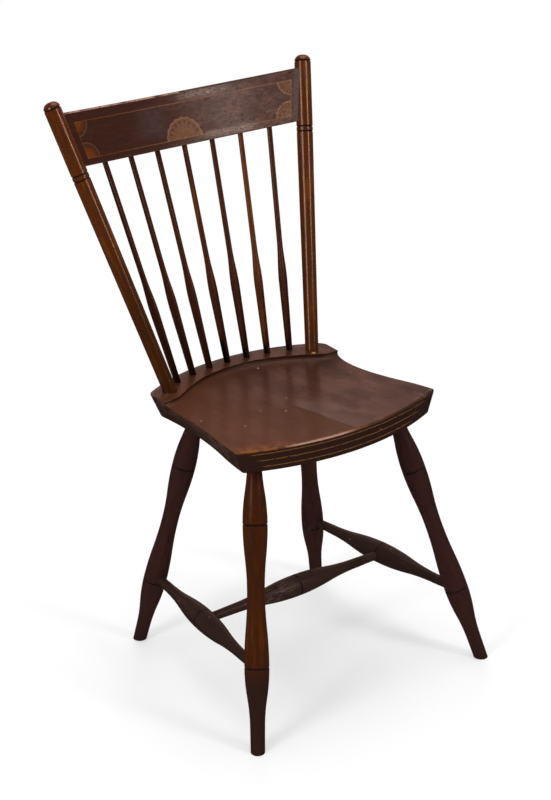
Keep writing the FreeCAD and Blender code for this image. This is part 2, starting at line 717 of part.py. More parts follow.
def seat_outline(body, name, height, side_in, back_in):
    """The plan of the plank at one height, drawn in at the sides and at the back."""
    corner, flank, back = (f"({half} - ({side_in}))" for half in ("seat_corner_x", FLANK_X, BACK_X))
    back_y = f"seat_back_y - ({back_in})"
    corners = (
        (f"-1 * {corner}", "seat_corner_y", "seat_front_corner", "seat_front_bow"),
        (corner, "seat_corner_y", "seat_front_corner", "seat_flank_bulge"),
        (flank, "seat_flank_y", None, SMOOTH),
        (back, back_y, "seat_rear_corner", "seat_back_bow"),
        (f"-1 * {back}", back_y, "seat_rear_corner", SMOOTH),
        (f"-1 * {flank}", "seat_flank_y", None, "seat_flank_bulge"),
    )
    return rounded_outline(body, name, height, corners)


SMOOTH = "smooth"


def rounded_outline(body, name, height, corners):
    """A closed outline of arcs with rounded corners.

    Each corner is (across, up, rounding or None, rise of the arc that leaves it). A smooth arc has
    no rise: at its end without rounding it runs on from its neighbour in one line."""
    outline = Outline(body, name, "XY_Plane", height)
    sketch = outline.sketch
    names = [(term(across), term(up)) for across, up, rounding, rise in corners]
    places = [outline.place(corner) for corner in names]
    trims = [outline.number(term(rounding or "0")) for across, up, rounding, rise in corners]
    arcs = []
    for index, (across, up, rounding, rise) in enumerate(corners):
        after = (index + 1) % len(corners)
        begin, finish = places[index], places[after]
        chord = finish - begin
        right = Vector(chord.y, -chord.x, 0).normalize()
        swell = -SMOOTH_SHARE * chord.Length if rise == SMOOTH else outline.number(term(rise))
        radius = chord.Length ** 2 / (8 * abs(swell)) + abs(swell) / 2
        centre = (begin + finish) * 0.5 + right * (swell - math.copysign(radius, swell))
        circle = Part.Circle(centre, Vector(0, 0, 1), radius)
        near, far = (index, after) if swell > 0 else (after, index)
        first = circle.parameter(places[near]) + trims[near] / radius
        last = circle.parameter(places[far]) - trims[far] / radius
        edge = sketch.addGeometry(Part.ArcOfCircle(circle, first, last % (2 * math.pi)), False)
        arcs.append((edge, 1 if swell > 0 else 2))
        if rise != SMOOTH:
            span = f"(({names[after][0]} - {names[index][0]})^2 + ({names[after][1]} - {names[index][1]})^2)"
            radius = f"{span} / (8 * {term(rise)}) + {term(rise)} / 2"
            bound = sketch.addConstraint(Sketcher.Constraint("Radius", edge, outline.number(radius)))
            sketch.setExpression(f"Constraints[{bound}]", radius)
    for index, (across, up, rounding, rise) in enumerate(corners):
        before, after = arcs[index - 1], arcs[index]
        before_end, after_end = 3 - before[1], after[1]
        if rounding is None:
            sketch.addConstraint(Sketcher.Constraint("Tangent", before[0], before_end, after[0], after_end))
            outline.fix(after[0], after_end, names[index])
            continue
        sharp = sketch.addGeometry(Part.Point(places[index]), True)
        outline.fix(sharp, 1, names[index])
        for edge, end in (before, after):
            sketch.addConstraint(Sketcher.Constraint("PointOnObject", sharp, 1, edge))
        begin = sketch.getPoint(before[0], before_end)
        finish = sketch.getPoint(after[0], after_end)
        half_way = (begin + finish) * 0.5
        middle = half_way + (places[index] - half_way) * CORNER_SHARE
        corner = sketch.addGeometry(Part.Arc(begin, middle, finish), False)
        begin_end = outline.end_near(corner, begin)
        sketch.addConstraint(Sketcher.Constraint("Tangent", before[0], before_end, corner, begin_end))
        sketch.addConstraint(Sketcher.Constraint("Tangent", corner, 3 - begin_end, after[0], after_end))
        bound = sketch.addConstraint(Sketcher.Constraint("Radius", corner, trims[index]))
        sketch.setExpression(f"Constraints[{bound}]", term(rounding))
    return sketch


# First guesses for the sketch: a smooth arc's hollow, and a rounded corner's middle
SMOOTH_SHARE = 0.05
CORNER_SHARE = 0.4


def round_edges(body, name, before, radius, test):
    """Round the edges that pass a test, as one more feature of the body."""
    numbers = edge_numbers(before.Shape, test)
    feature = body.newObject("PartDesign::Fillet", name)
    feature.Base = (before, [f"Edge{number}" for number in numbers])
    feature.setExpression("Radius", term(radius))
    doc.recompute()
    return feature


def plank():
    """The seat's plank, with sloping sides and rounded corners and lower edge."""
    body = new_body("seat_plank")
    upper = seat_outline(body, "seat_upper_plan", "seat_top", "0", "0")
    lower = seat_outline(body, "seat_lower_plan", UNDERSIDE, "seat_side_undercut", "seat_back_undercut")
    loft = body.newObject("PartDesign::AdditiveLoft", "seat_sides")
    loft.Profile = upper
    loft.Sections = [lower]
    loft.Ruled = True
    doc.recompute()
    underside = size("seat_top") - size("seat_thickness")
    round_edges(body, "seat_lower_edges", loft, "seat_lower_edge",
                lambda place, edge: abs(place.z - underside) < 0.01)
    return body


def saddle_height(across, share):
    """Height of the saddled top: share runs from 0 at the platform's line to 1 at the front edge."""
    aside = min(abs(across) / size("seat_corner_x"), 1)
    deep = size("saddle_depth") + (size("saddle_side_depth") - size("saddle_depth")) * aside ** 2
    rim = size("saddle_step") * (1 - share) + size("saddle_front_drop") * share
    return size("seat_top") - rim - deep * math.sin(math.pi * min(share, 1) ** SADDLE_FULLNESS)


def platform_line(across):
    """The platform's front line, seen from above: an arc that turns straight towards the sides."""
    radius = size("saddle_line_radius")
    fall = radius - math.sqrt(radius ** 2 - min(across ** 2, radius ** 2))
    middle = size("seat_back_y") + size("seat_back_bow") - size("platform_depth")
    wing = size("seat_back_y") - size("platform_wing")
    above = middle - fall - wing
    return wing + (above + math.hypot(above, size("saddle_wing_blend"))) / 2


def front_line(across):
    """The front edge of the seat, seen from above."""
    bow, corner = size("seat_front_bow"), size("seat_corner_x")
    radius = (corner ** 2 + bow ** 2) / (2 * bow)
    return size("seat_corner_y") - bow + radius - math.sqrt(radius ** 2 - across ** 2)


def saddle_hollow():
    """The wood taken from the top: everything above a smooth saddled surface."""
    half = size("seat_corner_x") + 2 * size("overrun")
    past_front = 1 + SADDLE_OVERRUN_SHARE
    rows = []
    for row in range(SADDLE_ROWS + 1):
        share = past_front * (row / SADDLE_ROWS) ** 2
        line = []
        for column in range(-SADDLE_COLUMNS, SADDLE_COLUMNS + 1):
            across = half * column / SADDLE_COLUMNS
            deep = platform_line(across) + share * (front_line(across) - platform_line(across))
            line.append(Vector(across, deep, saddle_height(across, share)))
        rows.append(line)
    surface = Part.BSplineSurface()
    surface.interpolate(rows)
    hollow = doc.addObject("Part::Feature", "saddle_hollow")
    hollow.Shape = surface.toShape().extrude(Vector(0, 0, size("seat_thickness")))
    hollow.Placement = FreeCAD.Placement()
    return hollow


# The saddle's scoop is deepest behind its middle, and its surface is drawn a little past the front
SADDLE_FULLNESS = 0.43
SADDLE_OVERRUN_SHARE = 0.08
SADDLE_ROWS = 14
SADDLE_COLUMNS = 9

for (end, side), leg in legs.items():
    seat_sockets.append(
        taper(f"leg_socket_{end}_{side}", leg, "leg_tip_diameter", "leg_top_diameter", LEG_TENON))

saddled = doc.addObject("Part::Cut", "seat_saddled")
saddled.Base = plank()
saddled.Tool = saddle_hollow()
doc.recompute()


def arris_radii(shape):
    """The radii that ease the seat's upper arrises, as (edge, radius at its start, at its end)."""
    front_edge, side_edge = size("seat_front_edge"), size("seat_side_edge")
    front_y = size("seat_corner_y") - size("seat_front_bow") / 2
    rear_row = size("seat_back_y") + size("seat_back_bow") - size("spindle_from_back")
    top = size("seat_top") - 0.01
    radii = []
    for number, edge in enumerate(shape.Edges, start=1):
        first, last = edge.ParameterRange
        place = edge.valueAt((first + last) / 2)
        upright = edge.BoundBox.ZLength > size("seat_thickness") / 2
        if upright or place.z < size("seat_top") - size("seat_thickness") / 2:
            continue
        on_rim = abs(place.x) > (size("seat_corner_x") - size("seat_flank_in")) / 2 or place.y > rear_row
        level = edge.BoundBox.ZLength < size("saddle_step")
        if place.y < front_y:
            radii.append((number, front_edge, front_edge))
        elif place.y < size("seat_corner_y") + size("seat_front_corner"):
            runs_back = edge.Vertexes[0].Point.y < edge.Vertexes[-1].Point.y
            begin, finish = (front_edge, side_edge) if runs_back else (side_edge, front_edge)
            radii.append((number, begin, finish))
        elif place.z > top and on_rim and level:
            radii.append((number, side_edge, side_edge))
        elif on_rim and place.z < size("seat_top") - size("saddle_step"):
            radii.append((number, side_edge, side_edge))
    return radii


eased = doc.addObject("Part::Fillet", "seat_eased")
eased.Base = saddled
eased.Edges = arris_radii(saddled.Shape)
subparts.append(cut("seat", eased, seat_sockets))


# Check every object, then write one file for each sub-part

doc.recompute()
for item in doc.Objects:
    failed = {"Invalid", "Error"} & set(item.State)
    assert not failed, f"{item.Name} is in state {item.State}"
for piece in subparts:
    assert not piece.Shape.isNull() and piece.Shape.isValid(), piece.Label
    assert len(piece.Shape.Solids) == 1, f"{piece.Label} is {len(piece.Shape.Solids)} solids"

os.makedirs("parts", exist_ok=True)
whole_box = FreeCAD.BoundBox()
for piece in subparts:
    piece.Shape.exportStep(f"parts/{piece.Label}.step")
    box = piece.Shape.optimalBoundingBox(False, False)
    print(f"{piece.Label:22s} {box.XLength:7.1f} {box.YLength:7.1f} {box.ZLength:7.1f}"
          f" {piece.Shape.Volume / 1000:8.1f} cm3")
    whole_box.add(box)
print(f"{len(subparts)} sub-parts, x {whole_box.XMin:.2f} to {whole_box.XMax:.2f}, "
      f"y {whole_box.YMin:.2f} to {whole_box.YMax:.2f}, z {whole_box.ZMin:.2f} to {whole_box.ZMax:.2f}")
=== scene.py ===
# %% [markdown]
# # An old windsor side chair, painted and varnished
# The chair comes from CAD as separate wooden pieces in one frame, in metres, with +Z up and the
# front of the seat towards -Y. Every piece is rigid turned, bent or carved wood with its true
# shape, so nothing is modelled again here. What makes the chair look old is its finish: red-brown
# paint under yellowed varnish, thin ochre stripes, stencilled fans, rubbed arrises and a few chips.

import math

import bpy
from mathutils import Euler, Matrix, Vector


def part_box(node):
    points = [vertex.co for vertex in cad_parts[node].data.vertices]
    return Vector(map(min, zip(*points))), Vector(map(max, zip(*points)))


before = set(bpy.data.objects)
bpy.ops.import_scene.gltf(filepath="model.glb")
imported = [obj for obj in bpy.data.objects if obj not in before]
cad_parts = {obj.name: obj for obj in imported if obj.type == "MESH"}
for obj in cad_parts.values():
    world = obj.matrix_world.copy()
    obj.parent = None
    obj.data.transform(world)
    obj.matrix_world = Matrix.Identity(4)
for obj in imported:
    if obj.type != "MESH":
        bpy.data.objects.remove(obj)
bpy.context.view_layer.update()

# %% [markdown]
# ## Short words for shader nodes
# A procedural finish is a small machine of nodes. Typed out in full it is hard to read, so a few
# helpers give each kind of node a short name. The first ones add any node, feed its inputs with a
# link or a plain value, and do arithmetic.

# %% Helpers that add a node
def feed(tree, socket, value):
    """Link an output to a socket, or set the socket's own value."""
    if isinstance(value, bpy.types.NodeSocket):
        tree.links.new(value, socket)
    else:
        socket.default_value = value


def put(tree, kind, inputs=(), **settings):
    """Add a node, set its properties, then feed its inputs, by name or in their order."""
    node = tree.nodes.new("ShaderNode" + kind)
    for name, value in settings.items():
        setattr(node, name, value)
    pairs = inputs.items() if isinstance(inputs, dict) else enumerate(inputs)
    for key, value in pairs:
        feed(tree, node.inputs[key], value)
    return node


def calc(tree, operation, *values, clamp=False):
    """Arithmetic on one, two or three values."""
    return put(tree, "Math", values, operation=operation, use_clamp=clamp).outputs[0]


print("helpers that add a node: feed, put, calc")

# %% [markdown]
# ## Masks and colours
# A mask is a value from 0 to 1 that says how much of something shows at each point. A smooth ramp
# makes one from any value, mostly between two distances in millimetres, and a noise makes it as
# uneven as old paint. Masks are multiplied where all of them must hold, and a colour is then laid
# over another through its masks.

# %% Helpers for masks and colours
def ramp(tree, value, low, high, start=0.0, finish=1.0):
    """A smooth step from start to finish as the value goes from low to high."""
    inputs = (value, low, high, start, finish)
    return put(tree, "MapRange", inputs, interpolation_type="SMOOTHSTEP").outputs[0]


def noise(tree, place, scale, detail=3.0, rough=0.5):
    """Soft random spots. The scale is how many of them lie in a millimetre."""
    inputs = {"Vector": place, "Scale": scale, "Detail": detail, "Roughness": rough}
    return put(tree, "TexNoise", inputs).outputs[0]


def stretch(tree, place, scale):
    """A place with each axis multiplied. A small number draws a pattern out along that axis."""
    return put(tree, "VectorMath", (place, scale), operation="MULTIPLY").outputs[0]


def times(tree, *masks):
    """A mask that shows where all of these do."""
    product = masks[0]
    for mask in masks[1:]:
        product = calc(tree, "MULTIPLY", product, mask)
    return product


def lay(tree, under, over, *masks):
    """Lay one colour over another where all of the masks show. A plain number is a strength."""
    inputs = {0: times(tree, *masks), 6: under, 7: over}
    return put(tree, "Mix", inputs, data_type="RGBA").outputs[2]


def rgb(red, green, blue):
    """A colour in linear light, with full alpha."""
    return (red, green, blue, 1.0)


print("helpers for masks and colours: ramp, noise, stretch, times, lay, rgb")

# %% [markdown]
# ## Effects that pieces share
# All the pieces carry the same old paint, dirt and wear. Such an effect is a node group: it is
# built once, with named inputs and outputs, and placed in each material with that piece's own
# values. A mend to the group then reaches every piece.

# %% Helpers for groups
def new_group(name, inputs, outputs):
    """A shader group. The kind of each input follows from its first value."""
    tree = bpy.data.node_groups.new(name, "ShaderNodeTree")
    kinds = {3: "Vector", 4: "Color"}
    for label, value in inputs.items():
        kind = "Float" if isinstance(value, float) else kinds[len(value)]
        socket = tree.interface.new_socket(label, in_out="INPUT", socket_type="NodeSocket" + kind)
        socket.default_value = value
    for label, kind in outputs.items():
        tree.interface.new_socket(label, in_out="OUTPUT", socket_type="NodeSocket" + kind)
    given, made = tree.nodes.new("NodeGroupInput"), tree.nodes.new("NodeGroupOutput")
    return tree, given.outputs, made.inputs


def use(tree, group, **inputs):
    """Place a group. An underscore in a name stands for a space."""
    named = {name.replace("_", " "): value for name, value in inputs.items()}
    return put(tree, "Group", named, node_tree=group).outputs


print("helpers for groups: new_group, use")

# %% [markdown]
# ## Old paint under varnish
# Paint on turned wood is brushed along the piece, so its streaks run lengthwise. Where the varnish
# has yellowed or the paint is thin, a warm orange-brown shows, and hands and dust leave darker
# clouds. An image could show that, but noises have no seams and fit any size. Four of them, drawn
# out along the grain, give the streaks, the clouds, the ribs of the wood and the grime.

# %% The group for old paint
OLD_PAINT, given, made = new_group(
    "old_paint",
    {"Place": (0.0, 0.0, 0.0), "Ground": rgb(0.1, 0.04, 0.025), "Warm": rgb(0.2, 0.07, 0.02),
     "Dark": rgb(0.02, 0.01, 0.008), "Warmth": 0.5, "Darkness": 0.3, "Roughness": 0.35},
    {"Colour": "Color", "Roughness": "Float", "Height": "Float"})
STREAKS, CLOUDS, THIN_FROM = 2.2, 1.6, 2.4
RIB_DARKNESS, RIB_HEIGHT = 0.14, 0.12
SMOOTHEST, SMUDGED = 0.12, 0.45


def grained(tree, place, drawn, scale, detail, rough):
    """Noise drawn out along the grain, which is the third axis of the place."""
    return noise(tree, stretch(tree, place, (1.0, 1.0, drawn)), scale, detail, rough)


streak = grained(OLD_PAINT, given["Place"], 0.07, 0.16, 5.0, 0.62)
cloud = grained(OLD_PAINT, given["Place"], 0.45, 0.03, 3.0, 0.55)
rib = grained(OLD_PAINT, given["Place"], 0.04, 1.6, 3.0, 0.6)
smudge = grained(OLD_PAINT, given["Place"], 0.3, 0.09, 6.0, 0.7)
thin = calc(OLD_PAINT, "MULTIPLY_ADD", cloud, CLOUDS, -THIN_FROM)
thin = calc(OLD_PAINT, "MULTIPLY_ADD", streak, STREAKS, thin)
thin = calc(OLD_PAINT, "ADD", thin, given["Warmth"], clamp=True)
colour = lay(OLD_PAINT, given["Ground"], given["Warm"], thin)
grime = times(OLD_PAINT, ramp(OLD_PAINT, smudge, 0.44, 0.7), given["Darkness"])
colour = lay(OLD_PAINT, colour, given["Dark"], grime)
colour = lay(OLD_PAINT, colour, given["Dark"], ramp(OLD_PAINT, rib, 0.42, 0.68), RIB_DARKNESS)
rough = calc(OLD_PAINT, "SUBTRACT", smudge, 0.5)
rough = calc(OLD_PAINT, "MULTIPLY_ADD", rough, SMUDGED, given["Roughness"])
feed(OLD_PAINT, made["Colour"], colour)
feed(OLD_PAINT, made["Roughness"], calc(OLD_PAINT, "MAXIMUM", rough, SMOOTHEST))
feed(OLD_PAINT, made["Height"], calc(OLD_PAINT, "MULTIPLY_ADD", rib, RIB_HEIGHT, streak))
print("old paint:", len(OLD_PAINT.nodes), "nodes")

# %% [markdown]
# ## Rubbed arrises
# Sharp edges lose their paint first. A bevel node looks at the surface as if its edges were
# rounded, and where that rounded surface turns away from the real one, an edge is near. Noise
# breaks the line up, because real wear comes and goes.

# %% The group for rubbed arrises
RUBBED, given, made = new_group(
    "rubbed_arris", {"Place": (0.0, 0.0, 0.0), "Reach": 0.0015, "Amount": 0.5}, {"Mask": "Float"})
rounded = put(RUBBED, "Bevel", {"Radius": given["Reach"]}, samples=6).outputs[0]
square = put(RUBBED, "NewGeometry").outputs["Normal"]
facing = put(RUBBED, "VectorMath", (rounded, square), operation="DOT_PRODUCT").outputs["Value"]
near = ramp(RUBBED, facing, 0.985, 0.86)
uneven = ramp(RUBBED, noise(RUBBED, given["Place"], 0.12, 5.0, 0.7), 0.4, 0.6)
worn = times(RUBBED, near, uneven)
feed(RUBBED, made["Mask"], calc(RUBBED, "MULTIPLY", worn, given["Amount"], clamp=True))
print("rubbed arris:", len(RUBBED.nodes), "nodes")

# %% [markdown]
# ## Dirt in scored lines
# A turner scores a thin line round a swelling with the point of a tool, and dirt fills it later.
# The groove itself is in the piece's shape, so only the dirt is painted here: a mask that is 1
# close to a known distance along the piece.

# %% The group for a scored line
SCORE, given, made = new_group(
    "score", {"Along": 0.0, "Position": 0.0, "Reach": 2.2}, {"Mask": "Float"})
away = calc(SCORE, "ABSOLUTE", calc(SCORE, "SUBTRACT", given["Along"], given["Position"]))
feed(SCORE, made["Mask"], ramp(SCORE, calc(SCORE, "DIVIDE", away, given["Reach"]), 1.0, 0.35))
print("score:", len(SCORE.nodes), "nodes")

# %% [markdown]
# ## Brushed stripes
# The fine lines of a painted chair are drawn freehand with a long thin brush, so they waver, swell
# and break a little. The group takes the distance from the middle of the line, whatever its
# direction, so that one group draws every stripe. One noise bends the line and another breaks it.

# %% The group for a stripe
STRIPE, given, made = new_group(
    "stripe", {"Away": 0.0, "Half Width": 0.6, "Place": (0.0, 0.0, 0.0)}, {"Mask": "Float"})
WAVER = 1.6
bend = calc(STRIPE, "SUBTRACT", noise(STRIPE, given["Place"], 0.05, 2.0), 0.5)
off = calc(STRIPE, "ABSOLUTE", calc(STRIPE, "MULTIPLY_ADD", bend, WAVER, given["Away"]))
line = ramp(STRIPE, calc(STRIPE, "DIVIDE", off, given["Half Width"]), 1.35, 0.75)
unbroken = ramp(STRIPE, noise(STRIPE, given["Place"], 0.22, 4.0, 0.65), 0.34, 0.46)
feed(STRIPE, made["Mask"], times(STRIPE, line, unbroken))
print("stripe:", len(STRIPE.nodes), "nodes")

# %% [markdown]
# ## Specks
# Small knocks lift flakes of paint and leave specks. A Voronoi texture scatters points that are the
# same on every run, and the distance from the nearest one makes a round spot. Noise added to that
# distance gives the spot its ragged outline.

# %% The group for specks
SPECKS, given, made = new_group(
    "specks", {"Place": (0.0, 0.0, 0.0), "Scale": 0.05, "Size": 0.1}, {"Mask": "Float"})
RAGGED = 0.12
points = put(SPECKS, "TexVoronoi", {"Vector": given["Place"], "Scale": given["Scale"]})
outline = calc(SPECKS, "SUBTRACT", noise(SPECKS, given["Place"], 0.9), 0.5)
outline = calc(SPECKS, "MULTIPLY_ADD", outline, RAGGED, points.outputs["Distance"])
feed(SPECKS, made["Mask"], ramp(SPECKS, outline, given["Size"], 0.0))
print("specks:", len(SPECKS.nodes), "nodes")

# %% [markdown]
# ## The place on a piece
# Each piece gets its own material, because its grain runs along its own axis. A Mapping node in
# texture mode takes the chair's coordinates back to the piece's: millimetres from its first end,
# with Z along its axis. Object coordinates stay with the piece, so the finish can't slide.

# %% Helpers for a material's places
MM = 0.001


def start_material(name):
    """A new material without nodes, and its tree."""
    material = bpy.data.materials.new(name)
    material.use_nodes = True
    material.node_tree.nodes.clear()
    return material, material.node_tree


def piece_place(tree, origin=(0.0, 0.0, 0.0), turn=(0.0, 0.0, 0.0)):
    """The place on a piece in millimetres, seen from its own origin and axes."""
    chair = put(tree, "TexCoord").outputs["Object"]
    settings = {"Vector": chair, "Location": origin, "Rotation": turn, "Scale": (MM, MM, MM)}
    return put(tree, "Mapping", settings, vector_type="TEXTURE").outputs[0]


def part_of(tree, place):
    """The three numbers of a place."""
    return put(tree, "SeparateXYZ", (place,)).outputs


print("helpers for places: start_material, piece_place, part_of")

# %% [markdown]
# ## Round pieces without facets
# A turned piece comes as flat triangles, and each flat strip would catch a highlight of its own. On
# a truly round piece the normal points straight out from the axis and leans with the profile. So
# its sideways direction is taken from the place on the piece, and only its lean from the triangle.

# %% The normal of a turned piece
def round_normal(tree, place, turn, axis):
    """The normal of a truly round piece, in place of its flat facets' normals."""
    flat = {"Vector": stretch(tree, place, (1.0, 1.0, 0.0)), "Rotation": turn}
    sideways = put(tree, "Mapping", flat, vector_type="VECTOR").outputs[0]
    sideways = put(tree, "VectorMath", (sideways,), operation="NORMALIZE").outputs[0]
    facet = put(tree, "NewGeometry").outputs["Normal"]
    lean = put(tree, "VectorMath", (facet, axis), operation="DOT_PRODUCT").outputs["Value"]
    rest = calc(tree, "SUBTRACT", 1.0, calc(tree, "MULTIPLY", lean, lean), clamp=True)
    out_part, along_part = (
        put(tree, "VectorMath", {0: direction, 3: length}, operation="SCALE").outputs[0]
        for direction, length in ((sideways, calc(tree, "SQRT", rest)), (axis, lean)))
    return put(tree, "VectorMath", (out_part, along_part), operation="ADD").outputs[0]


print("helper for round pieces: round_normal")

# %% [markdown]
# ## Varnish over paint
# The old varnish is a thin yellowed film. The principled shader has both layers: the paint below
# has fine bumps and reflects a little, in a warm tint, and the coat lies smooth over it. What is
# the same all over a piece goes straight to the shader's own sockets, where the export reads it.

# %% The shader of varnished paint
PAINT_IOR = 1.45
COAT_ROUGHNESS = 0.17
WARM_GLEAM = rgb(1.0, 0.66, 0.5)


def varnish(tree, smooth, colour, paint, depth, coat, shine):
    """Paint with bumps of a depth in metres, under a coat that follows the smooth normal."""
    film = {"Strength": 1.0, "Distance": depth, "Height": paint["Height"], "Normal": smooth}
    bump = put(tree, "Bump", film).outputs[0]
    shader = put(tree, "BsdfPrincipled", {
        "Base Color": colour, "Roughness": paint["Roughness"], "Normal": bump, "IOR": PAINT_IOR,
        "Specular IOR Level": shine, "Specular Tint": WARM_GLEAM,
        "Coat Weight": coat, "Coat Roughness": COAT_ROUGHNESS, "Coat Normal": smooth})
    put(tree, "OutputMaterial", {"Surface": shader.outputs[0]})


def dress(node, material):
    """Give a CAD piece its finish."""
    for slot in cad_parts[node].material_slots:
        slot.link = "OBJECT"
        slot.material = material


print("helpers for the shader: varnish, dress")

# %% [markdown]
# ## The finish of a turned piece
# All turned pieces are painted alike, and a look says how they differ: its two paints and how much
# of the warm one shows, its grime, roughness, bumps, coat and shine, and where along the piece it
# is painted darker, as painted shade: where that shade begins, where it is darkest, and how dark.
# A piece near the floor can also have chips, and a stretch that shoes have scratched.

# %% The finish of a turned piece
DIRT = rgb(0.012, 0.007, 0.006)
SHADED = rgb(0.017, 0.01, 0.0095)
SCRATCHED = rgb(0.16, 0.11, 0.085)
BARE_WOOD = rgb(0.42, 0.24, 0.1)
DIRT_IN_SCORE = 0.85
RUB_STRENGTH, RUB_SOFTNESS = 0.5, 15.0


def strip(tree, value, begin, finish, soft):
    """A mask that is 1 between two values, with soft ends."""
    rising = ramp(tree, value, begin - soft, begin + soft)
    return times(tree, rising, ramp(tree, value, finish + soft, finish - soft))


def turned_finish(name, begin, finish, look, scores=()):
    """The finish of a turned piece: its look, and dirt in its scored lines, in mm from begin."""
    material, tree = start_material(name)
    axis = (finish - begin).normalized()
    turn = axis.to_track_quat("Z", "Y").to_euler()
    place = piece_place(tree, begin, turn)
    along = part_of(tree, place)[2]
    paint = use(tree, OLD_PAINT, Place=place, Ground=look["ground"], Warm=look["warm"], Dark=DIRT,
                Warmth=look["warmth"], Darkness=look["darkness"], Roughness=look["roughness"])
    # Painted shade: the colour is darkened along the piece, from where the shade begins to where it
    # is darkest.
    unshaded_at, dark_at, darker = look["shade"]
    shade = ramp(tree, along, unshaded_at, dark_at, 0.0, darker)
    colour = lay(tree, paint["Colour"], look.get("shaded", SHADED), shade)
    for position in scores:
        groove = use(tree, SCORE, Along=along, Position=position)
        colour = lay(tree, colour, DIRT, groove["Mask"], DIRT_IN_SCORE)
    if "rub" in look:
        scratches = ramp(tree, grained(tree, place, 0.2, 0.3, 5.0, 0.7), 0.48, 0.66)
        rubbed = strip(tree, along, *look["rub"], RUB_SOFTNESS)
        colour = lay(tree, colour, SCRATCHED, rubbed, scratches, RUB_STRENGTH)
    if "chips" in look:
        spots = stretch(tree, place, (1.0, 1.0, 0.5))
        specks = use(tree, SPECKS, Place=spots, Scale=0.045, Size=0.06)
        colour = lay(tree, colour, BARE_WOOD, specks["Mask"], look["chips"])
    smooth = round_normal(tree, place, turn, axis)
    varnish(tree, smooth, colour, paint, look["bumps"], look["coat"], look["shine"])
    return material


print("helpers for turned pieces: strip, turned_finish")

# %% [markdown]
# ## Where the legs are
# The legs splay outwards and forwards or back, so each has an axis of its own, from its foot on
# the floor to its socket under the seat. These are the real places that the CAD pieces were made
# with, in metres. The chair is alike on both sides, so a sign gives the side.

# %% Where the legs are
SIGNS = {"left": -1, "right": 1}
SEAT_UNDERSIDE = 0.397
FEET = {"front": (0.2135, -0.2411), "rear": (0.176, 0.1312)}
SOCKETS = {"front": (0.128, -0.1268), "rear": (0.099, 0.0592)}


def leg_point(end, side, height):
    """The point where a leg's axis passes a height."""
    share = height / SEAT_UNDERSIDE
    x, y = (foot + (socket - foot) * share for foot, socket in zip(FEET[end], SOCKETS[end]))
    return Vector((SIGNS[side] * x, y, height))


print("near foot:", [round(c, 4) for c in leg_point("front", "left", 0.0)])

# %% [markdown]
# ## Legs
# The legs are turned like bamboo, with two scored swellings each, and towards their feet they
# are painted darker, as painted shade. The near leg is painted warmer and brighter than the others,
# as painted light where the lamps reach it, so it gets a look of its own. It is a copy of the common
# look with a few values changed, which keeps the rest alike.

# %% Legs
LEG_SCORES = (93.0, 299.0)
leg_look = {"ground": rgb(0.035, 0.0118, 0.0098), "warm": rgb(0.08, 0.021, 0.009),
            "warmth": 0.4, "darkness": 0.55, "roughness": 0.36, "bumps": 0.0001,
            "coat": 0.05, "shine": 0.16, "shade": (290.0, 420.0, 0.25)}
# The near leg's warmer, brighter paint is painted light, and its foot has deeper painted shade.
near_lit_look = dict(leg_look, ground=rgb(0.052, 0.0115, 0.002), warm=rgb(0.13, 0.032, 0.002),
                 warmth=0.5, shine=0.12, shade=(285.0, 330.0, 0.7))
for side in SIGNS:
    for end in FEET:
        top, foot = leg_point(end, side, SEAT_UNDERSIDE), leg_point(end, side, 0.0)
        look = near_lit_look if (end, side) == ("front", "left") else leg_look
        painted = turned_finish(f"leg_paint_{end}_{side}", top, foot, look, LEG_SCORES)
        dress(f"leg_{end}_{side}", painted)
print("legs painted:", [m.name for m in bpy.data.materials if m.name.startswith("leg_paint_")])

# %% [markdown]
# ## Stretchers
# The stretchers tie the legs together low down, where shoes scuff them, so they are the greyest
# and dullest pieces. The side ones run from leg to leg, and the middle one between their middles.
# Each has one scored line, halfway, and the middle one also has a scratched stretch. One loop
# takes the two ends of each and paints all three.

# %% Stretchers
STRETCHER_HEIGHT = 0.114
# The look's shade darkens each stretcher slightly towards one end, as painted shade.
stretcher_look = {"ground": rgb(0.03, 0.0145, 0.011), "warm": rgb(0.056, 0.024, 0.013),
                  "warmth": 0.3, "darkness": 0.45, "roughness": 0.42, "bumps": 0.00015,
                  "coat": 0.03, "shine": 0.15, "shade": (0.0, 300.0, 0.1), "chips": 0.5}
middle_look = dict(stretcher_look, ground=rgb(0.038, 0.0185, 0.0138), rub=(75.0, 158.0))
stretcher_ends = {side: [leg_point(end, side, STRETCHER_HEIGHT) for end in ("rear", "front")]
                  for side in SIGNS}
middles = [(rear + front) / 2 for rear, front in stretcher_ends.values()]
stretchers = [(f"side_stretcher_{side}", side, ends, stretcher_look)
              for side, ends in stretcher_ends.items()]
stretchers.append(("middle_stretcher", "middle", middles, middle_look))
for node, name, (begin, finish), look in stretchers:
    length = (finish - begin).length
    score = length / 2 / MM
    dress(node, turned_finish(f"stretcher_paint_{name}", begin, finish, look, (score,)))
    print(node, "spans", round(length, 4))

# %% [markdown]
# ## Back posts
# The posts are the glossiest pieces: hands polish them, and their varnish has gone orange. Towards
# the seat they are painted darker, as painted shade, the left one more. Each has two ring lines, and
# a groove under its domed cap, placed in millimetres from the seat. The paint itself shines in its
# warm tint, with hardly any coat, because a thick coat would make the highlights white.

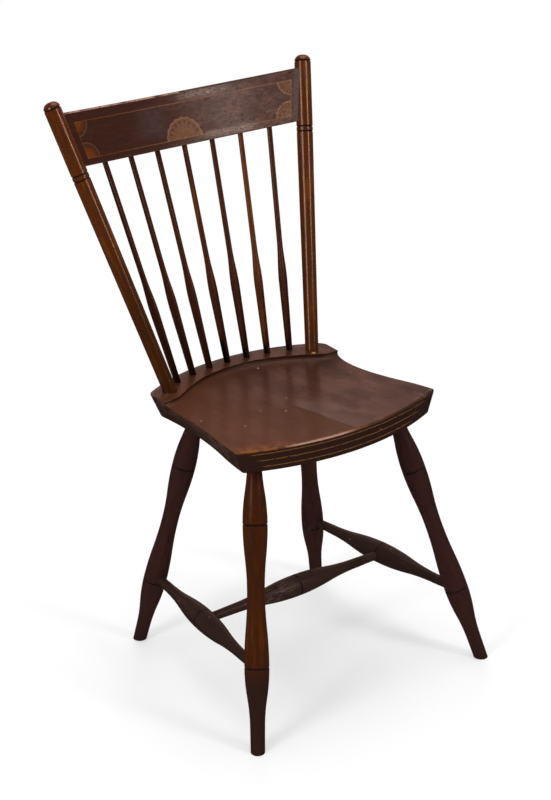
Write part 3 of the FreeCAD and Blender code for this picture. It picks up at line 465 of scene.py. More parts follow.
# %% Back posts
POST_FOOT = (0.1327, 0.0802, 0.433)
POST_CAP = (0.2243, 0.219, 0.850)
RING_MIDDLE, RING_HALF = 343.5, 3.9
POST_SHADES = {"left": (300.0, 60.0, 0.8), "right": (260.0, 40.0, 0.2)}
post_look = {"ground": rgb(0.08, 0.018, 0.0025), "warm": rgb(0.25, 0.068, 0.004),
             "shaded": rgb(0.034, 0.0095, 0.0015), "warmth": 0.5, "darkness": 0.5,
             "roughness": 0.22, "bumps": 0.00003, "coat": 0.03, "shine": 0.5}
for side, sign in SIGNS.items():
    foot, cap = (Vector((sign * x, y, z)) for x, y, z in (POST_FOOT, POST_CAP))
    grooves = (RING_MIDDLE - RING_HALF, RING_MIDDLE + RING_HALF, (cap - foot).length / MM)
    look = dict(post_look, shade=POST_SHADES[side])
    dress(f"back_post_{side}", turned_finish(f"post_paint_{side}", foot, cap, look, grooves))
print("posts:", round((cap - foot).length, 4), "to the cap")

# %% [markdown]
# ## Spindles
# The spindles are thin and dark. On some of them the paint has worn to orange, so each has its own
# share of the warm paint. They fan out from the seat, and the corners of each one's own box give
# its axis: the left ones lean to the left and the others to the right.

# %% Spindles
SPINDLE_WARMTH = {1: 0.1, 2: 0.1, 3: 0.45, 4: 0.65, 5: 0.45, 6: 1.0, 7: 0.5}
# Each spindle's foot, where it meets the seat, is painted darker, as painted shade.
spindle_look = {"ground": rgb(0.052, 0.0125, 0.005), "warm": rgb(0.16, 0.048, 0.007),
                "darkness": 0.4, "roughness": 0.28, "bumps": 0.00004,
                "coat": 0.0, "shine": 0.2, "shade": (60.0, 0.0, 0.4)}
for number, warmth in SPINDLE_WARMTH.items():
    low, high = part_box(f"spindle_{number}")
    foot_x, top_x = (high.x, low.x) if number < 4 else (low.x, high.x)
    foot, top = Vector((foot_x, low.y, low.z)), Vector((top_x, high.y, high.z))
    look = dict(spindle_look, warmth=warmth)
    dress(f"spindle_{number}", turned_finish(f"spindle_paint_{number}", foot, top, look))
print("spindles painted:", len(SPINDLE_WARMTH))

# %% [markdown]
# ## A painted fan
# A half fan stands in the middle of the crest rail, and a quarter fan fills each corner: common
# stencil ornaments of such chairs. A fan could be cut out as a shape, but it is drawn in polar
# form, as an angle and a reach from its corner, so that its rays and scalloped rim follow from the
# angle and stay sharp at any size.

# %% The group for a painted fan
FAN, given, made = new_group(
    "painted_fan",
    {"Across": 0.0, "Up": 0.0, "Radius": 30.0, "Rays": 10.0, "Fade": 0.5, "Lines": 0.4,
     "Left": 0.5, "Place": (0.0, 0.0, 0.0)},
    {"Fill": "Float", "Rim": "Float", "Gaps": "Float"})
SCALLOP, ROUNDNESS = 0.06, 0.6


def most(tree, *masks):
    """A mask that shows where any of these does."""
    strongest = masks[0]
    for mask in masks[1:]:
        strongest = calc(tree, "MAXIMUM", strongest, mask)
    return strongest


spot = put(FAN, "CombineXYZ", (given["Across"], given["Up"])).outputs[0]
reach = put(FAN, "VectorMath", (spot,), operation="LENGTH").outputs["Value"]
angle = calc(FAN, "ARCTAN2", given["Up"], given["Across"])
lobe = calc(FAN, "ABSOLUTE", calc(FAN, "SINE", calc(FAN, "MULTIPLY", angle, given["Rays"])))
edge = calc(FAN, "MULTIPLY_ADD", calc(FAN, "POWER", lobe, ROUNDNESS), SCALLOP, 1.0 - SCALLOP)
share = calc(FAN, "DIVIDE", reach, calc(FAN, "MULTIPLY", given["Radius"], edge))
inside = ramp(FAN, share, 1.02, 0.97)
rim = times(FAN, inside, ramp(FAN, share, 0.86, 0.94))
bead = ramp(FAN, reach, 2.4, 1.6)
long_gaps = times(FAN, ramp(FAN, lobe, 0.5, 0.1), strip(FAN, share, 0.25, 0.86, 0.04))
deep_gaps = times(FAN, ramp(FAN, lobe, 0.62, 0.3), strip(FAN, share, 0.72, 0.88, 0.04))
gaps = most(FAN, times(FAN, long_gaps, given["Lines"]), deep_gaps)
patchy = noise(FAN, given["Place"], 0.35, 4.0, 0.65)
worn = ramp(FAN, patchy, 0.3, 0.6, given["Left"], 1.0)
core = ramp(FAN, share, 0.3, 0.95, 1.0, given["Fade"])
feed(FAN, made["Fill"], times(FAN, inside, worn, core))
feed(FAN, made["Rim"], times(FAN, most(FAN, rim, bead), worn))
feed(FAN, made["Gaps"], times(FAN, gaps, worn))
print("painted fan:", len(FAN.nodes), "nodes")

# %% [markdown]
# ## Where the crest rail is
# The rail stands between the leaning posts, a little under their caps, and bows backwards between
# them. All its ornament is worked out in the rail's own place: across from the middle, back, and up
# from its lower edge along the lean. The bend's radius follows from its bow and its span.

# %% Where the crest rail is
CREST_BELOW_CAP = 0.0085
CREST_WIDTH = 0.081
CREST_BOW = 0.0315
foot, cap = Vector((0.0,) + POST_FOOT[1:]), Vector((0.0,) + POST_CAP[1:])
back_length = (cap - foot).length
back_lean = math.atan2(cap.y - foot.y, cap.z - foot.z)
crest_rise = back_length - CREST_BELOW_CAP - CREST_WIDTH
crest_origin = foot + (cap - foot).normalized() * crest_rise
post_slope = (POST_CAP[0] - POST_FOOT[0]) / back_length
post_at_rail = POST_FOOT[0] + post_slope * crest_rise
half_span = post_at_rail + post_slope * CREST_WIDTH / 2
bend_radius = (half_span ** 2 + CREST_BOW ** 2) / (2 * CREST_BOW)
print("rail's origin:", [round(c, 4) for c in crest_origin], "radius:", round(bend_radius, 4))

# %% [markdown]
# ## The crest rail's paint
# The rail's grain runs across the chair and its face is bent, so the place is turned to put the
# grain on its third axis, and the ornament is kept to the front by its distance from the arc
# through the rail's middle. The same measure serves for the seat's curves later.

# %% The crest rail's paint
FRONT_FACE = -6.0


def behind_arc(tree, across, back, middle, radius):
    """The distance behind an arc. With a radius below zero its ends come forwards."""
    square = calc(tree, "MULTIPLY", across, across)
    half = calc(tree, "SQRT", calc(tree, "SUBTRACT", radius ** 2, square))
    from_centre = calc(tree, "ADD" if radius > 0.0 else "SUBTRACT", back, half)
    return calc(tree, "SUBTRACT", from_centre, middle + radius)


crest, tree = start_material("crest_paint")
place = piece_place(tree, crest_origin, Euler((-back_lean, 0.0, 0.0)))
across, back, up = part_of(tree, place)
from_bend = behind_arc(tree, across, back, CREST_BOW / MM, -bend_radius / MM)
front = ramp(tree, from_bend, FRONT_FACE + 0.5, FRONT_FACE - 0.5)
grain_place = put(tree, "CombineXYZ", (back, up, across)).outputs[0]
paint = use(tree, OLD_PAINT, Place=grain_place, Ground=rgb(0.042, 0.014, 0.009),
            Warm=rgb(0.07, 0.0195, 0.009), Dark=DIRT, Warmth=0.45, Darkness=0.3, Roughness=0.4)
print("crest rail's paint:", len(tree.nodes), "nodes")

# %% [markdown]
# ## Rubbed paint on the rail
# The right half of the rail is rubbed to a patchy grey with dark pits, the left half has kept a
# mauve bloom, and the edges show pale scratches. Each mark has a noise of its own size, and a slow
# ramp across the rail fades the wear in from the left to the right.

# %% Rubbed paint on the rail
RUBBED_GREY = rgb(0.185, 0.099, 0.079)
DULL_BROWN = rgb(0.05, 0.027, 0.024)
MAUVE = rgb(0.075, 0.05, 0.055)
PALE_SCRATCH = rgb(0.36, 0.26, 0.21)
abraded = ramp(tree, across, -60.0, 60.0)
broad = ramp(tree, grained(tree, grain_place, 0.6, 0.035, 4.0, 0.6), 0.3, 0.65, 0.35, 1.0)
patches = ramp(tree, grained(tree, grain_place, 0.4, 0.22, 7.0, 0.75), 0.36, 0.62, 0.3, 1.0)
colour = lay(tree, paint["Colour"], RUBBED_GREY, abraded, broad, patches, 0.75)
pits = ramp(tree, noise(tree, grain_place, 0.4, 6.0, 0.75), 0.45, 0.32)
colour = lay(tree, colour, DIRT, pits, abraded, 0.6)
dark_specks = use(tree, SPECKS, Place=grain_place, Scale=0.1, Size=0.32)
colour = lay(tree, colour, DIRT, dark_specks["Mask"], abraded)
dull = ramp(tree, noise(tree, grain_place, 0.028, 2.0, 0.5), 0.42, 0.62)
colour = lay(tree, colour, DULL_BROWN, dull, abraded, 0.5)
bloom = times(tree, strip(tree, across, -75.0, -30.0, 18.0), strip(tree, up, 20.0, 66.0, 8.0))
colour = lay(tree, colour, MAUVE, bloom, patches, 0.45)
top_wear = times(tree, strip(tree, up, 68.0, 77.0, 4.0), strip(tree, across, 5.0, 85.0, 25.0))
low_wear = times(tree, strip(tree, up, 3.0, 13.0, 4.0), strip(tree, across, 35.0, 120.0, 25.0))
scratches = ramp(tree, grained(tree, grain_place, 0.35, 0.55, 7.0, 0.8), 0.4, 0.62)
colour = lay(tree, colour, PALE_SCRATCH, most(tree, top_wear, low_wear), scratches, 0.7)
print("with its wear:", len(tree.nodes), "nodes")

# %% [markdown]
# ## The rail's border
# Thin lines frame the rail's front: two run along it, and one at each end runs up beside the post,
# at the post's slant. The frame also bounds the fans. So each line is a distance, and each side of
# the frame a mask, and both are worked out once, in millimetres, for the lines and the fans.

# %% The rail's border
BORDER_LOW, BORDER_HIGH = 10.2, 64.5
BORDER_FROM_POST = 24.5
border_end = post_at_rail / MM - BORDER_FROM_POST
past_end = calc(tree, "SUBTRACT", calc(tree, "ABSOLUTE", across), border_end)
past_end = calc(tree, "MULTIPLY_ADD", up, -post_slope, past_end)
inside_ends = ramp(tree, past_end, 1.0, 0.0)
above_low = ramp(tree, up, BORDER_LOW - 1.0, BORDER_LOW)
inside_lines = times(tree, above_low, ramp(tree, up, BORDER_HIGH + 1.0, BORDER_HIGH))
framed = times(tree, inside_ends, inside_lines)
lines = []
for away, limit in ((calc(tree, "SUBTRACT", up, BORDER_LOW), inside_ends),
                    (calc(tree, "SUBTRACT", up, BORDER_HIGH), inside_ends),
                    (past_end, inside_lines)):
    stripe = use(tree, STRIPE, Away=away, Half_Width=0.55, Place=grain_place)
    lines.append(times(tree, stripe["Mask"], limit))
border = most(tree, *lines)
print("border: its ends are at", round(border_end, 1), "mm from the middle")

# %% [markdown]
# ## Fans and lines on the rail
# The gilding has gone from ochre at the left to tan at the right. The fans at the left are faint and
# smooth, and those at the right are pale with open gaps between their rays, so each kind has its
# own values. The fans come first and the lines over them, and beyond the frame the paint is dull.

# %% Fans and lines on the rail
OCHRE = rgb(0.22, 0.048, 0.002)
TAN = rgb(0.27, 0.115, 0.052)
PALE_TAN = rgb(0.36, 0.18, 0.09)
DULL_END = rgb(0.08, 0.066, 0.07)
# Of each fan: the paint left in worn spots and towards the rim, how far the gaps between the
# rays show, and the strengths of its fill, its rim and those gaps.
LEFT_FAN = {"radius": 24.0, "rays": 10.0, "left": 0.6, "fade": 0.12, "lines": 0.2,
            "strengths": (0.6, 0.16, 0.12)}
MIDDLE_FAN = {"radius": 32.5, "rays": 9.0, "left": 0.5, "fade": 0.75, "lines": 0.4,
              "strengths": (0.5, 0.3, 0.6)}
RIGHT_FAN = {"radius": 24.0, "rays": 12.0, "left": 0.1, "fade": 0.7, "lines": 0.8,
             "strengths": (0.5, 0.45, 0.8)}
gilding = lay(tree, OCHRE, TAN, ramp(tree, across, -170.0, -20.0))
fans = [(0.0, BORDER_LOW, MIDDLE_FAN)]
for level in (BORDER_LOW, BORDER_HIGH):
    corner = border_end + post_slope * level
    fans += [(-corner, level, LEFT_FAN), (corner, level, RIGHT_FAN)]
for middle, level, kind in fans:
    fan = use(tree, FAN, Place=grain_place, Across=calc(tree, "SUBTRACT", across, middle),
              Up=calc(tree, "SUBTRACT", up, level), Radius=kind["radius"], Rays=kind["rays"],
              Fade=kind["fade"], Lines=kind["lines"], Left=kind["left"])
    coats = zip(("Fill", "Rim", "Gaps"), kind["strengths"], (gilding, PALE_TAN, DIRT))
    for mask, strength, over in coats:
        colour = lay(tree, colour, over, fan[mask], framed, front, strength)
colour = lay(tree, colour, gilding, border, front, 0.5)
beyond = times(tree, ramp(tree, past_end, 2.0, 6.0), ramp(tree, across, 0.0, 10.0))
colour = lay(tree, colour, DULL_END, beyond, front, 0.55)
print("fans on the rail:", len(fans))

# %% [markdown]
# ## The rail's arrises and varnish
# The top arris of the left half is pale, the lower one is rubbed, and the top of the right half is
# painted darker, as painted shade. A rail's arrises wear a little round, which a bevel node shows in
# the normal alone, so that the shape stays as it is.

# %% The rail's arrises and varnish
PALE_ARRIS = rgb(0.38, 0.2, 0.15)
WORN_ARRIS = rgb(0.3, 0.15, 0.095)
PAINTED_TOP_SHADE = rgb(0.035, 0.0125, 0.006)
SOFT_ARRIS = 0.0018


def facing_up(tree):
    """How far a surface faces upwards: 1 on a level top and 0 on an upright face."""
    return part_of(tree, put(tree, "NewGeometry").outputs["Normal"])[2]


def eased_normal(tree):
    """The normal of a carved piece whose arrises have worn a little round."""
    return put(tree, "Bevel", {"Radius": SOFT_ARRIS}, samples=4).outputs[0]


top_line = times(tree, strip(tree, up, 78.4, 80.6, 0.5), ramp(tree, across, 70.0, -10.0))
comes_and_goes = ramp(tree, noise(tree, grain_place, 0.07, 4.0, 0.65), 0.35, 0.55)
colour = lay(tree, colour, PALE_ARRIS, top_line, comes_and_goes, 0.9)
arris = use(tree, RUBBED, Place=grain_place, Reach=0.0026, Amount=1.0)
rubbed_part = most(tree, ramp(tree, up, 60.0, 50.0), strip(tree, across, -120.0, 0.0, 25.0))
colour = lay(tree, colour, WORN_ARRIS, arris["Mask"], rubbed_part)
# Painted shade: the upward face of the rail's right half is darkened.
top_shade_mask = times(tree, ramp(tree, facing_up(tree), 0.6, 0.8), ramp(tree, across, -10.0, 30.0))
colour = lay(tree, colour, PAINTED_TOP_SHADE, top_shade_mask, 0.85)
varnish(tree, eased_normal(tree), colour, paint, depth=0.0002, coat=0.05, shine=0.12)
dress("crest_rail", crest)
print("crest rail:", len(tree.nodes), "nodes")

# %% [markdown]
# ## The seat's paint
# The seat is a carved plank of two boards, whose grain runs from front to rear. Sitting has worn its
# paint thin and warm towards the front and the left. The wear has no outline, so slow ramps across
# and along the seat bring in the warm brown.

# %% The seat's paint
WORN_BROWN = rgb(0.09, 0.026, 0.007)
seat, tree = start_material("seat_paint")
chair_place = piece_place(tree)
across, deep, height = part_of(tree, chair_place)
grain_place = piece_place(tree, turn=Euler((math.radians(-90.0), 0.0, 0.0)))
paint = use(tree, OLD_PAINT, Place=stretch(tree, grain_place, (0.6, 0.6, 0.6)),
            Ground=rgb(0.044, 0.0138, 0.0075), Warm=rgb(0.1, 0.031, 0.012),
            Dark=rgb(0.022, 0.01, 0.008), Warmth=0.3, Darkness=0.35, Roughness=0.36)
toward_left = ramp(tree, across, 70.0, -120.0)
worn = most(tree, ramp(tree, deep, 60.0, -180.0), toward_left)
colour = lay(tree, paint["Colour"], WORN_BROWN, worn, toward_left, 0.5)
print("seat's paint:", len(tree.nodes), "nodes")

# %% [markdown]
# ## The seat's faces
# The saddled top, the sloping sides and the underside are one solid with one material, so the way
# each point faces tells them apart. The sides and the underside are painted darker than the top, as
# painted shade, because they face away from the light, and towards the flanks scuffs have greyed
# them.

# %% The seat's faces
PAINTED_SIDE_SHADE = rgb(0.02, 0.0075, 0.0055)
SIDE_GREY = rgb(0.1, 0.062, 0.052)
from_middle = calc(tree, "ABSOLUTE", across)
upward = facing_up(tree)
on_top = ramp(tree, upward, 0.3, 0.6)
under_top = calc(tree, "SUBTRACT", 1.0, on_top)
scuffs = ramp(tree, noise(tree, chair_place, 0.09, 6.0, 0.7), 0.42, 0.6)
flanks = times(tree, ramp(tree, from_middle, 150.0, 165.0), ramp(tree, deep, -160.0, -130.0))
# Painted shade on every face that doesn't face up.
colour = lay(tree, colour, PAINTED_SIDE_SHADE, under_top, 0.9)
colour = lay(tree, colour, SIDE_GREY, under_top, flanks, scuffs, 0.6)
print("with its faces:", len(tree.nodes), "nodes")

# %% [markdown]
# ## Stripes and arrises of the seat
# Three fine ochre stripes follow the seat's front face and end before its corners. A painter draws
# them level, so their heights above the floor place them. The arris above them is rubbed.

# %% Stripes and arrises of the seat
STRIPE_OCHRE = rgb(0.33, 0.13, 0.03)
SEAT_ARRIS = rgb(0.22, 0.085, 0.028)
# Each stripe's height and its two ends, in millimetres.
SEAT_STRIPES = ((426.0, -160.0, 150.0), (415.5, -151.0, 135.0), (405.5, -143.0, 120.0))
on_front = times(tree, under_top, ramp(tree, deep, -150.0, -160.0))
for level, left_end, right_end in SEAT_STRIPES:
    away = calc(tree, "SUBTRACT", height, level)
    stripe = use(tree, STRIPE, Away=away, Half_Width=0.5, Place=chair_place)
    within = strip(tree, across, left_end, right_end, 4.0)
    colour = lay(tree, colour, STRIPE_OCHRE, stripe["Mask"], within, on_front, 0.6)
arris = use(tree, RUBBED, Place=chair_place, Reach=0.0025, Amount=0.8)
colour = lay(tree, colour, SEAT_ARRIS, arris["Mask"])
print("stripes on the seat:", len(SEAT_STRIPES))

# %% [markdown]
# ## The joint between the boards
# The plank's two boards meet near the middle, on a line that is a little slanted. In front, beside
# the joint, the left board has a brown patch with less gloss and the right one a pale haze: together
# they are a painted reflection, whose sharp edge runs along the joint. Dirt has drawn the joint
# itself. The distance from that line bounds all three.

# %% The joint between the boards
JOINT_X, JOINT_SLANT = 13.5, 0.093
REFLECTION_EDGE_BROWN = rgb(0.06, 0.018, 0.007)
PAINTED_REFLECTION_HAZE = rgb(0.13, 0.082, 0.068)
from_joint = calc(tree, "ADD", across, calc(tree, "MULTIPLY_ADD", deep, JOINT_SLANT, JOINT_X))
left_board = times(tree, ramp(tree, from_joint, 0.8, -0.8), ramp(tree, from_joint, -75.0, -8.0))
right_board = times(tree, ramp(tree, from_joint, -0.8, 0.8), ramp(tree, from_joint, 75.0, 10.0))
front_half = times(tree, ramp(tree, deep, -38.0, -80.0), on_top)
reflection_edge_patch = times(tree, left_board, front_half)
# Painted reflection: a brown patch left of the joint and a pale haze right of it.
colour = lay(tree, colour, REFLECTION_EDGE_BROWN, reflection_edge_patch, 0.75)
colour = lay(tree, colour, PAINTED_REFLECTION_HAZE, right_board, front_half, 0.4)
joint = ramp(tree, calc(tree, "ABSOLUTE", from_joint), 1.6, 0.4)
colour = lay(tree, colour, DIRT, joint, strip(tree, deep, -125.0, -45.0, 20.0), on_top, 0.5)
print("with the joint:", len(tree.nodes), "nodes")

# %% [markdown]
# ## Worn places on the seat
# The front left corner is worn golden, and on the front arris beside it a pale line is a painted
# highlight, where the rounded arris catches the light. The right corner has pale flecks, and the
# rear corners are grey. Each is its own colour within a few ramps, broken up by one blotchy noise,
# so a list of them is easy to read and to change.

# %% Worn places on the seat
FRONT_Y, FRONT_RADIUS = -196.8, 443.2
from_front = behind_arc(tree, across, deep, FRONT_Y, FRONT_RADIUS)
to_flank = calc(tree, "MULTIPLY_ADD", deep, 0.08, across)
blotch = noise(tree, chair_place, 0.11, 5.0, 0.7)
seat_wear = {
    "golden corner": (
        rgb(0.19, 0.055, 0.006), 0.8, ramp(tree, across, -80.0, -135.0),
        ramp(tree, from_front, 34.0, 4.0), ramp(tree, blotch, 0.38, 0.6)),
    "golden line": (
        rgb(0.2, 0.055, 0.008), 0.6, strip(tree, across, -170.0, 60.0, 30.0),
        ramp(tree, from_front, 8.0, 2.0), ramp(tree, blotch, 0.4, 0.55)),
    "rear corners": (
        rgb(0.13, 0.1, 0.08), 0.5, ramp(tree, from_middle, 105.0, 150.0),
        ramp(tree, deep, 60.0, 85.0), scuffs),
    "right flank": (
        rgb(0.22, 0.12, 0.05), 0.4, ramp(tree, to_flank, 150.0, 172.0),
        ramp(tree, blotch, 0.45, 0.6)),
    # A painted highlight along the rounded front arris.
    "painted arris highlight": (
        rgb(0.45, 0.26, 0.2), 0.75, strip(tree, across, -105.0, -5.0, 15.0),
        strip(tree, from_front, 0.6, 2.6, 0.8)),
    "right flecks": (
        rgb(0.42, 0.26, 0.09), 0.8, ramp(tree, across, 120.0, 160.0),
        ramp(tree, from_front, 20.0, 4.0), ramp(tree, blotch, 0.52, 0.6)),
}
for over, strength, *masks in seat_wear.values():
    colour = lay(tree, colour, over, *masks, on_top, strength)
print("worn places:", list(seat_wear))

# %% [markdown]
# ## Dirt and chips on the seat
# A cloth doesn't reach the feet of the spindles, so dirt stays round them, and the strip behind them
# is grey. The larger chips lie where they are on the real seat: each is a ragged spot round its own
# place, pale, dark or yellow. The smallest ones are left to the scattered specks.

# %% Dirt and chips on the seat
ROW_Y, ROW_RADIUS = 121.2, 300.0
ROW_DIRT = rgb(0.03, 0.014, 0.009)
REAR_GREY = rgb(0.075, 0.06, 0.048)
SPECK_COLOUR = rgb(0.4, 0.27, 0.18)
# The chips of each colour: where they are, and their radius, in millimetres.
CHIPS = {
    rgb(0.34, 0.22, 0.16): ((35.0, 89.0, 2.4), (-146.0, -21.0, 1.8), (-109.0, -79.0, 2.2),
                            (2.0, -29.0, 1.9), (-30.0, -71.0, 2.0), (-57.0, -45.0, 1.5)),
    rgb(0.02, 0.009, 0.006): ((134.0, -102.0, 2.6), (137.0, -112.0, 2.2), (18.0, -86.0, 1.8)),
    rgb(0.5, 0.28, 0.07): ((126.0, 66.0, 5.0),),
}
from_row = behind_arc(tree, across, deep, ROW_Y, -ROW_RADIUS)
near_row = ramp(tree, calc(tree, "ABSOLUTE", from_row), 16.0, 3.0)
colour = lay(tree, colour, ROW_DIRT, near_row, on_top, 0.5)
colour = lay(tree, colour, REAR_GREY, ramp(tree, from_row, 2.0, 9.0), on_top, scuffs, 0.6)
flat_place = stretch(tree, chair_place, (1.0, 1.0, 0.0))
ragged = calc(tree, "MULTIPLY_ADD", noise(tree, chair_place, 0.7), 2.4, -1.2)
for over, chips in CHIPS.items():
    for x, y, radius in chips:
        spot = put(tree, "VectorMath", (flat_place, (x, y, 0.0)), operation="DISTANCE")
        outline = calc(tree, "ADD", spot.outputs["Value"], ragged)
        colour = lay(tree, colour, over, ramp(tree, outline, radius, radius * 0.3), on_top)
specks = use(tree, SPECKS, Place=chair_place, Scale=0.04, Size=0.05)
colour = lay(tree, colour, SPECK_COLOUR, specks["Mask"], 0.8)
print("chips on the seat:", sum(len(chips) for chips in CHIPS.values()))

# %% [markdown]
# ## The seat's varnish
# The varnish is worn away in places, so the seat mirrors the back only in some of them: more at the
# right than at the left, less in dull dapples and on the brown patch of the painted reflection, and
# not on the rising rear edge. The weight of the coat may vary over a surface, so all of that goes
# into one mask for it.

# %% The seat's varnish
DAPPLE_DARK = rgb(0.024, 0.009, 0.006)
CORNER_DARK = rgb(0.02, 0.009, 0.0065)
dapples = noise(tree, stretch(tree, chair_place, (1.0, 0.6, 1.0)), 0.022, 3.0, 0.5)
right_half = ramp(tree, across, -20.0, 60.0)
colour = lay(tree, colour, DAPPLE_DARK, ramp(tree, dapples, 0.45, 0.58), right_half, on_top, 0.8)
right_front = times(tree, ramp(tree, across, 70.0, 130.0), ramp(tree, deep, -70.0, -120.0), on_top)
colour = lay(tree, colour, CORNER_DARK, right_front, 0.6)
gloss = times(tree, ramp(tree, across, -130.0, 60.0, 0.15, 0.36),
              ramp(tree, right_front, 0.0, 1.0, 1.0, 0.6),
              ramp(tree, reflection_edge_patch, 0.0, 1.0, 1.0, 0.2),
              ramp(tree, dapples, 0.6, 0.4, 0.45, 1.1),
              most(tree, ramp(tree, upward, 0.93, 0.985), ramp(tree, deep, 20.0, -20.0)))
varnish(tree, eased_normal(tree), colour, paint, depth=0.0002, coat=gloss, shine=0.22)
dress("seat", seat)
print("seat:", len(tree.nodes), "nodes")

# %% [markdown]
# ## Pegs and wedges
# The rail's pegs show at the back of the posts, and the posts' wedges show under the seat. They are
# bare wood that has gone brown. The paint group serves for them too: with pale colours, much grime
# and no coat, its streaks and ribs look like grain.

# %% Pegs and wedges
bare, tree = start_material("bare_wood")
paint = use(tree, OLD_PAINT, Place=piece_place(tree), Ground=rgb(0.2, 0.11, 0.055),
            Warm=rgb(0.27, 0.15, 0.07), Dark=rgb(0.05, 0.025, 0.012),
            Warmth=0.5, Darkness=0.6, Roughness=0.6)
varnish(tree, eased_normal(tree), paint["Colour"], paint, depth=0.0003, coat=0.0, shine=0.2)
for side in SIGNS:
    dress(f"crest_peg_{side}", bare)
    dress(f"post_wedge_{side}", bare)
print("bare wood on pegs and wedges:", len(tree.nodes), "nodes")

# %% [markdown]
# ## Camera
# The camera stands to the left of the chair's front and looks down on it, through a long lens. Its
# place was worked out from the chair's own points in the photograph, and it is turned by three
# angles: the way it faces, how far it looks down, and a slight roll.

# %% Camera
CAMERA_PLACE = (-1.5229, -2.1062, 1.5477)
FACING, LOOKING_UP, ROLL = (math.radians(a) for a in (35.918, -23.646, -0.966))
FOCAL_PIXELS = 1889.9
PHOTO_HEIGHT = 800
SENSOR = 36.0
camera_data = bpy.data.cameras.new("camera")
camera_data.sensor_fit = "VERTICAL"
camera_data.sensor_height = SENSOR
camera_data.lens = FOCAL_PIXELS / PHOTO_HEIGHT * SENSOR
camera = bpy.data.objects.new("camera", camera_data)
bpy.context.scene.collection.objects.link(camera)
camera.location = CAMERA_PLACE
level_turn = Euler((math.radians(90.0) + LOOKING_UP, 0.0, -FACING)).to_matrix()
roll_turn = Euler((0.0, 0.0, ROLL)).to_matrix()
camera.rotation_euler = (level_turn @ roll_turn).to_euler()
bpy.context.scene.camera = camera
bpy.context.scene.view_settings.view_transform = "Standard"
print("lens:", round(camera_data.lens, 2), "mm")

# %% [markdown]
# ## The floor
# The chair stands on a white studio floor. Near the chair the floor is a plain white surface that
# takes the soft shadows. Further away it is lifted to pure white, for the camera only, so that
# nothing more falls on the chair. In reflections it is dim and warm, as the varnish shows it.

# %% Floor
FLOOR_SIZE = 60.0
FLOOR_WHITE = rgb(0.93, 0.93, 0.93)
FLOOR_GLEAM, FLOOR_SHINE = rgb(1.0, 0.76, 0.62), 0.06
PURE_WHITE = rgb(1.0, 1.0, 1.0)
bpy.ops.object.select_all(action="DESELECT")
bpy.ops.mesh.primitive_plane_add(size=FLOOR_SIZE, location=(0.0, 0.0, 0.0))
floor = bpy.context.object
floor.name = "floor"
white, tree = start_material("floor_white")
spot = put(tree, "TexCoord").outputs["Object"]
from_chair = put(tree, "VectorMath", (spot,), operation="LENGTH").outputs["Value"]
rays = put(tree, "LightPath").outputs
lifted = times(tree, rays["Is Camera Ray"], ramp(tree, from_chair, 0.15, 1.1, 0.38, 1.0))
matt = put(tree, "BsdfDiffuse", {"Color": FLOOR_WHITE}).outputs[0]
glow = put(tree, "Emission", {"Color": PURE_WHITE, "Strength": 1.0}).outputs[0]
plain = put(tree, "MixShader", (lifted, matt, glow)).outputs[0]
mirrored = put(tree, "Emission", {"Color": FLOOR_GLEAM, "Strength": FLOOR_SHINE}).outputs[0]
surface = put(tree, "MixShader", (rays["Is Glossy Ray"], plain, mirrored)).outputs[0]
put(tree, "OutputMaterial", {"Surface": surface})
floor.data.materials.append(white)
print("floor:", FLOOR_SIZE, "m wide")

# %% [markdown]
# ## The room
# A pale room gives most of the light, and it is pure white to the camera. In reflections it is
# bright beyond the chair and dim overhead and at the near side, so that the varnish keeps its
# depth. That follows from fixed directions in the room, so it stays the same in every view.

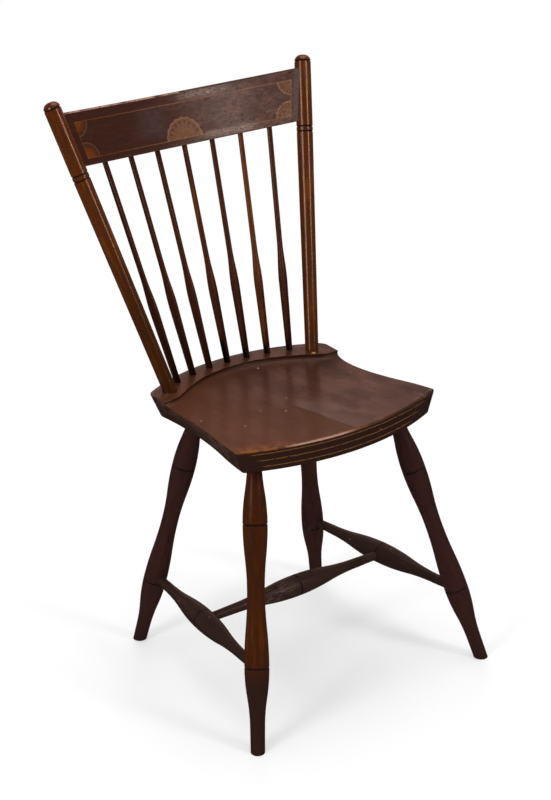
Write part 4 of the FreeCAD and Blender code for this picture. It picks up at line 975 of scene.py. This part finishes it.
# %% World
ROOM_LIGHT, ROOM_DIM, ROOM_SHINE = 0.5, 0.02, 0.7
ROOM_GLEAM = rgb(1.0, 0.58, 0.5)
BEYOND = (math.sin(FACING), math.cos(FACING), 0.0)
world = bpy.context.scene.world or bpy.data.worlds.new("studio")
bpy.context.scene.world = world
world.use_nodes = True
tree = world.node_tree
tree.nodes.clear()
rays = put(tree, "LightPath").outputs
direction = put(tree, "TexCoord").outputs["Generated"]
ahead = put(tree, "VectorMath", (direction, BEYOND), operation="DOT_PRODUCT").outputs["Value"]
overhead = ramp(tree, part_of(tree, direction)[2], 0.8, 0.3, 0.3, 1.0)
mirrored = times(tree, ramp(tree, ahead, 0.1, 0.8, ROOM_DIM, ROOM_SHINE), overhead)
room_light, room_shine, room_white = (
    put(tree, "Background", {"Color": tint, "Strength": strength}).outputs[0]
    for tint, strength in ((PURE_WHITE, ROOM_LIGHT), (ROOM_GLEAM, mirrored), (PURE_WHITE, 1.0)))
room = put(tree, "MixShader", (rays["Is Glossy Ray"], room_light, room_shine)).outputs[0]
seen = most(tree, rays["Is Camera Ray"], rays["Is Transmission Ray"])
room = put(tree, "MixShader", (seen, room, room_white)).outputs[0]
put(tree, "OutputWorld", {"Surface": room})
print("room:", len(tree.nodes), "nodes")

# %% [markdown]
# ## Lamps
# Two tall softboxes, one at the left and one towards the right of the camera, draw the long
# highlights on the posts. A wide one overhead lights the seat, and one behind lights the back of
# the chair. The last is hidden from reflections, because it would add highlights of its own.

# %% Lamps
LAMPS_LOOK_AT = Vector((0.0, 0.0, 0.45))
# Each softbox: its place, its width and height in metres, and its power in watts.
SOFTBOXES = {
    "softbox_left": ((-2.45, -0.4, 1.75), 0.8, 1.2, 28.0),
    "softbox_right": ((1.05, -2.3, 1.8), 0.45, 1.1, 21.0),
    "softbox_above": ((0.3, 0.3, 2.6), 1.8, 1.8, 27.0),
    "softbox_behind": ((1.5, 2.3, 1.7), 1.6, 1.6, 22.0),
}
for name, (place, width, tall, power) in SOFTBOXES.items():
    lamp = bpy.data.lights.new(name, "AREA")
    lamp.shape = "RECTANGLE"
    lamp.size, lamp.size_y, lamp.energy = width, tall, power
    holder = bpy.data.objects.new(name, lamp)
    bpy.context.scene.collection.objects.link(holder)
    holder.location = place
    aim = LAMPS_LOOK_AT - Vector(place)
    holder.rotation_euler = aim.to_track_quat("-Z", "Y").to_euler()
    holder.visible_glossy = name != "softbox_behind"
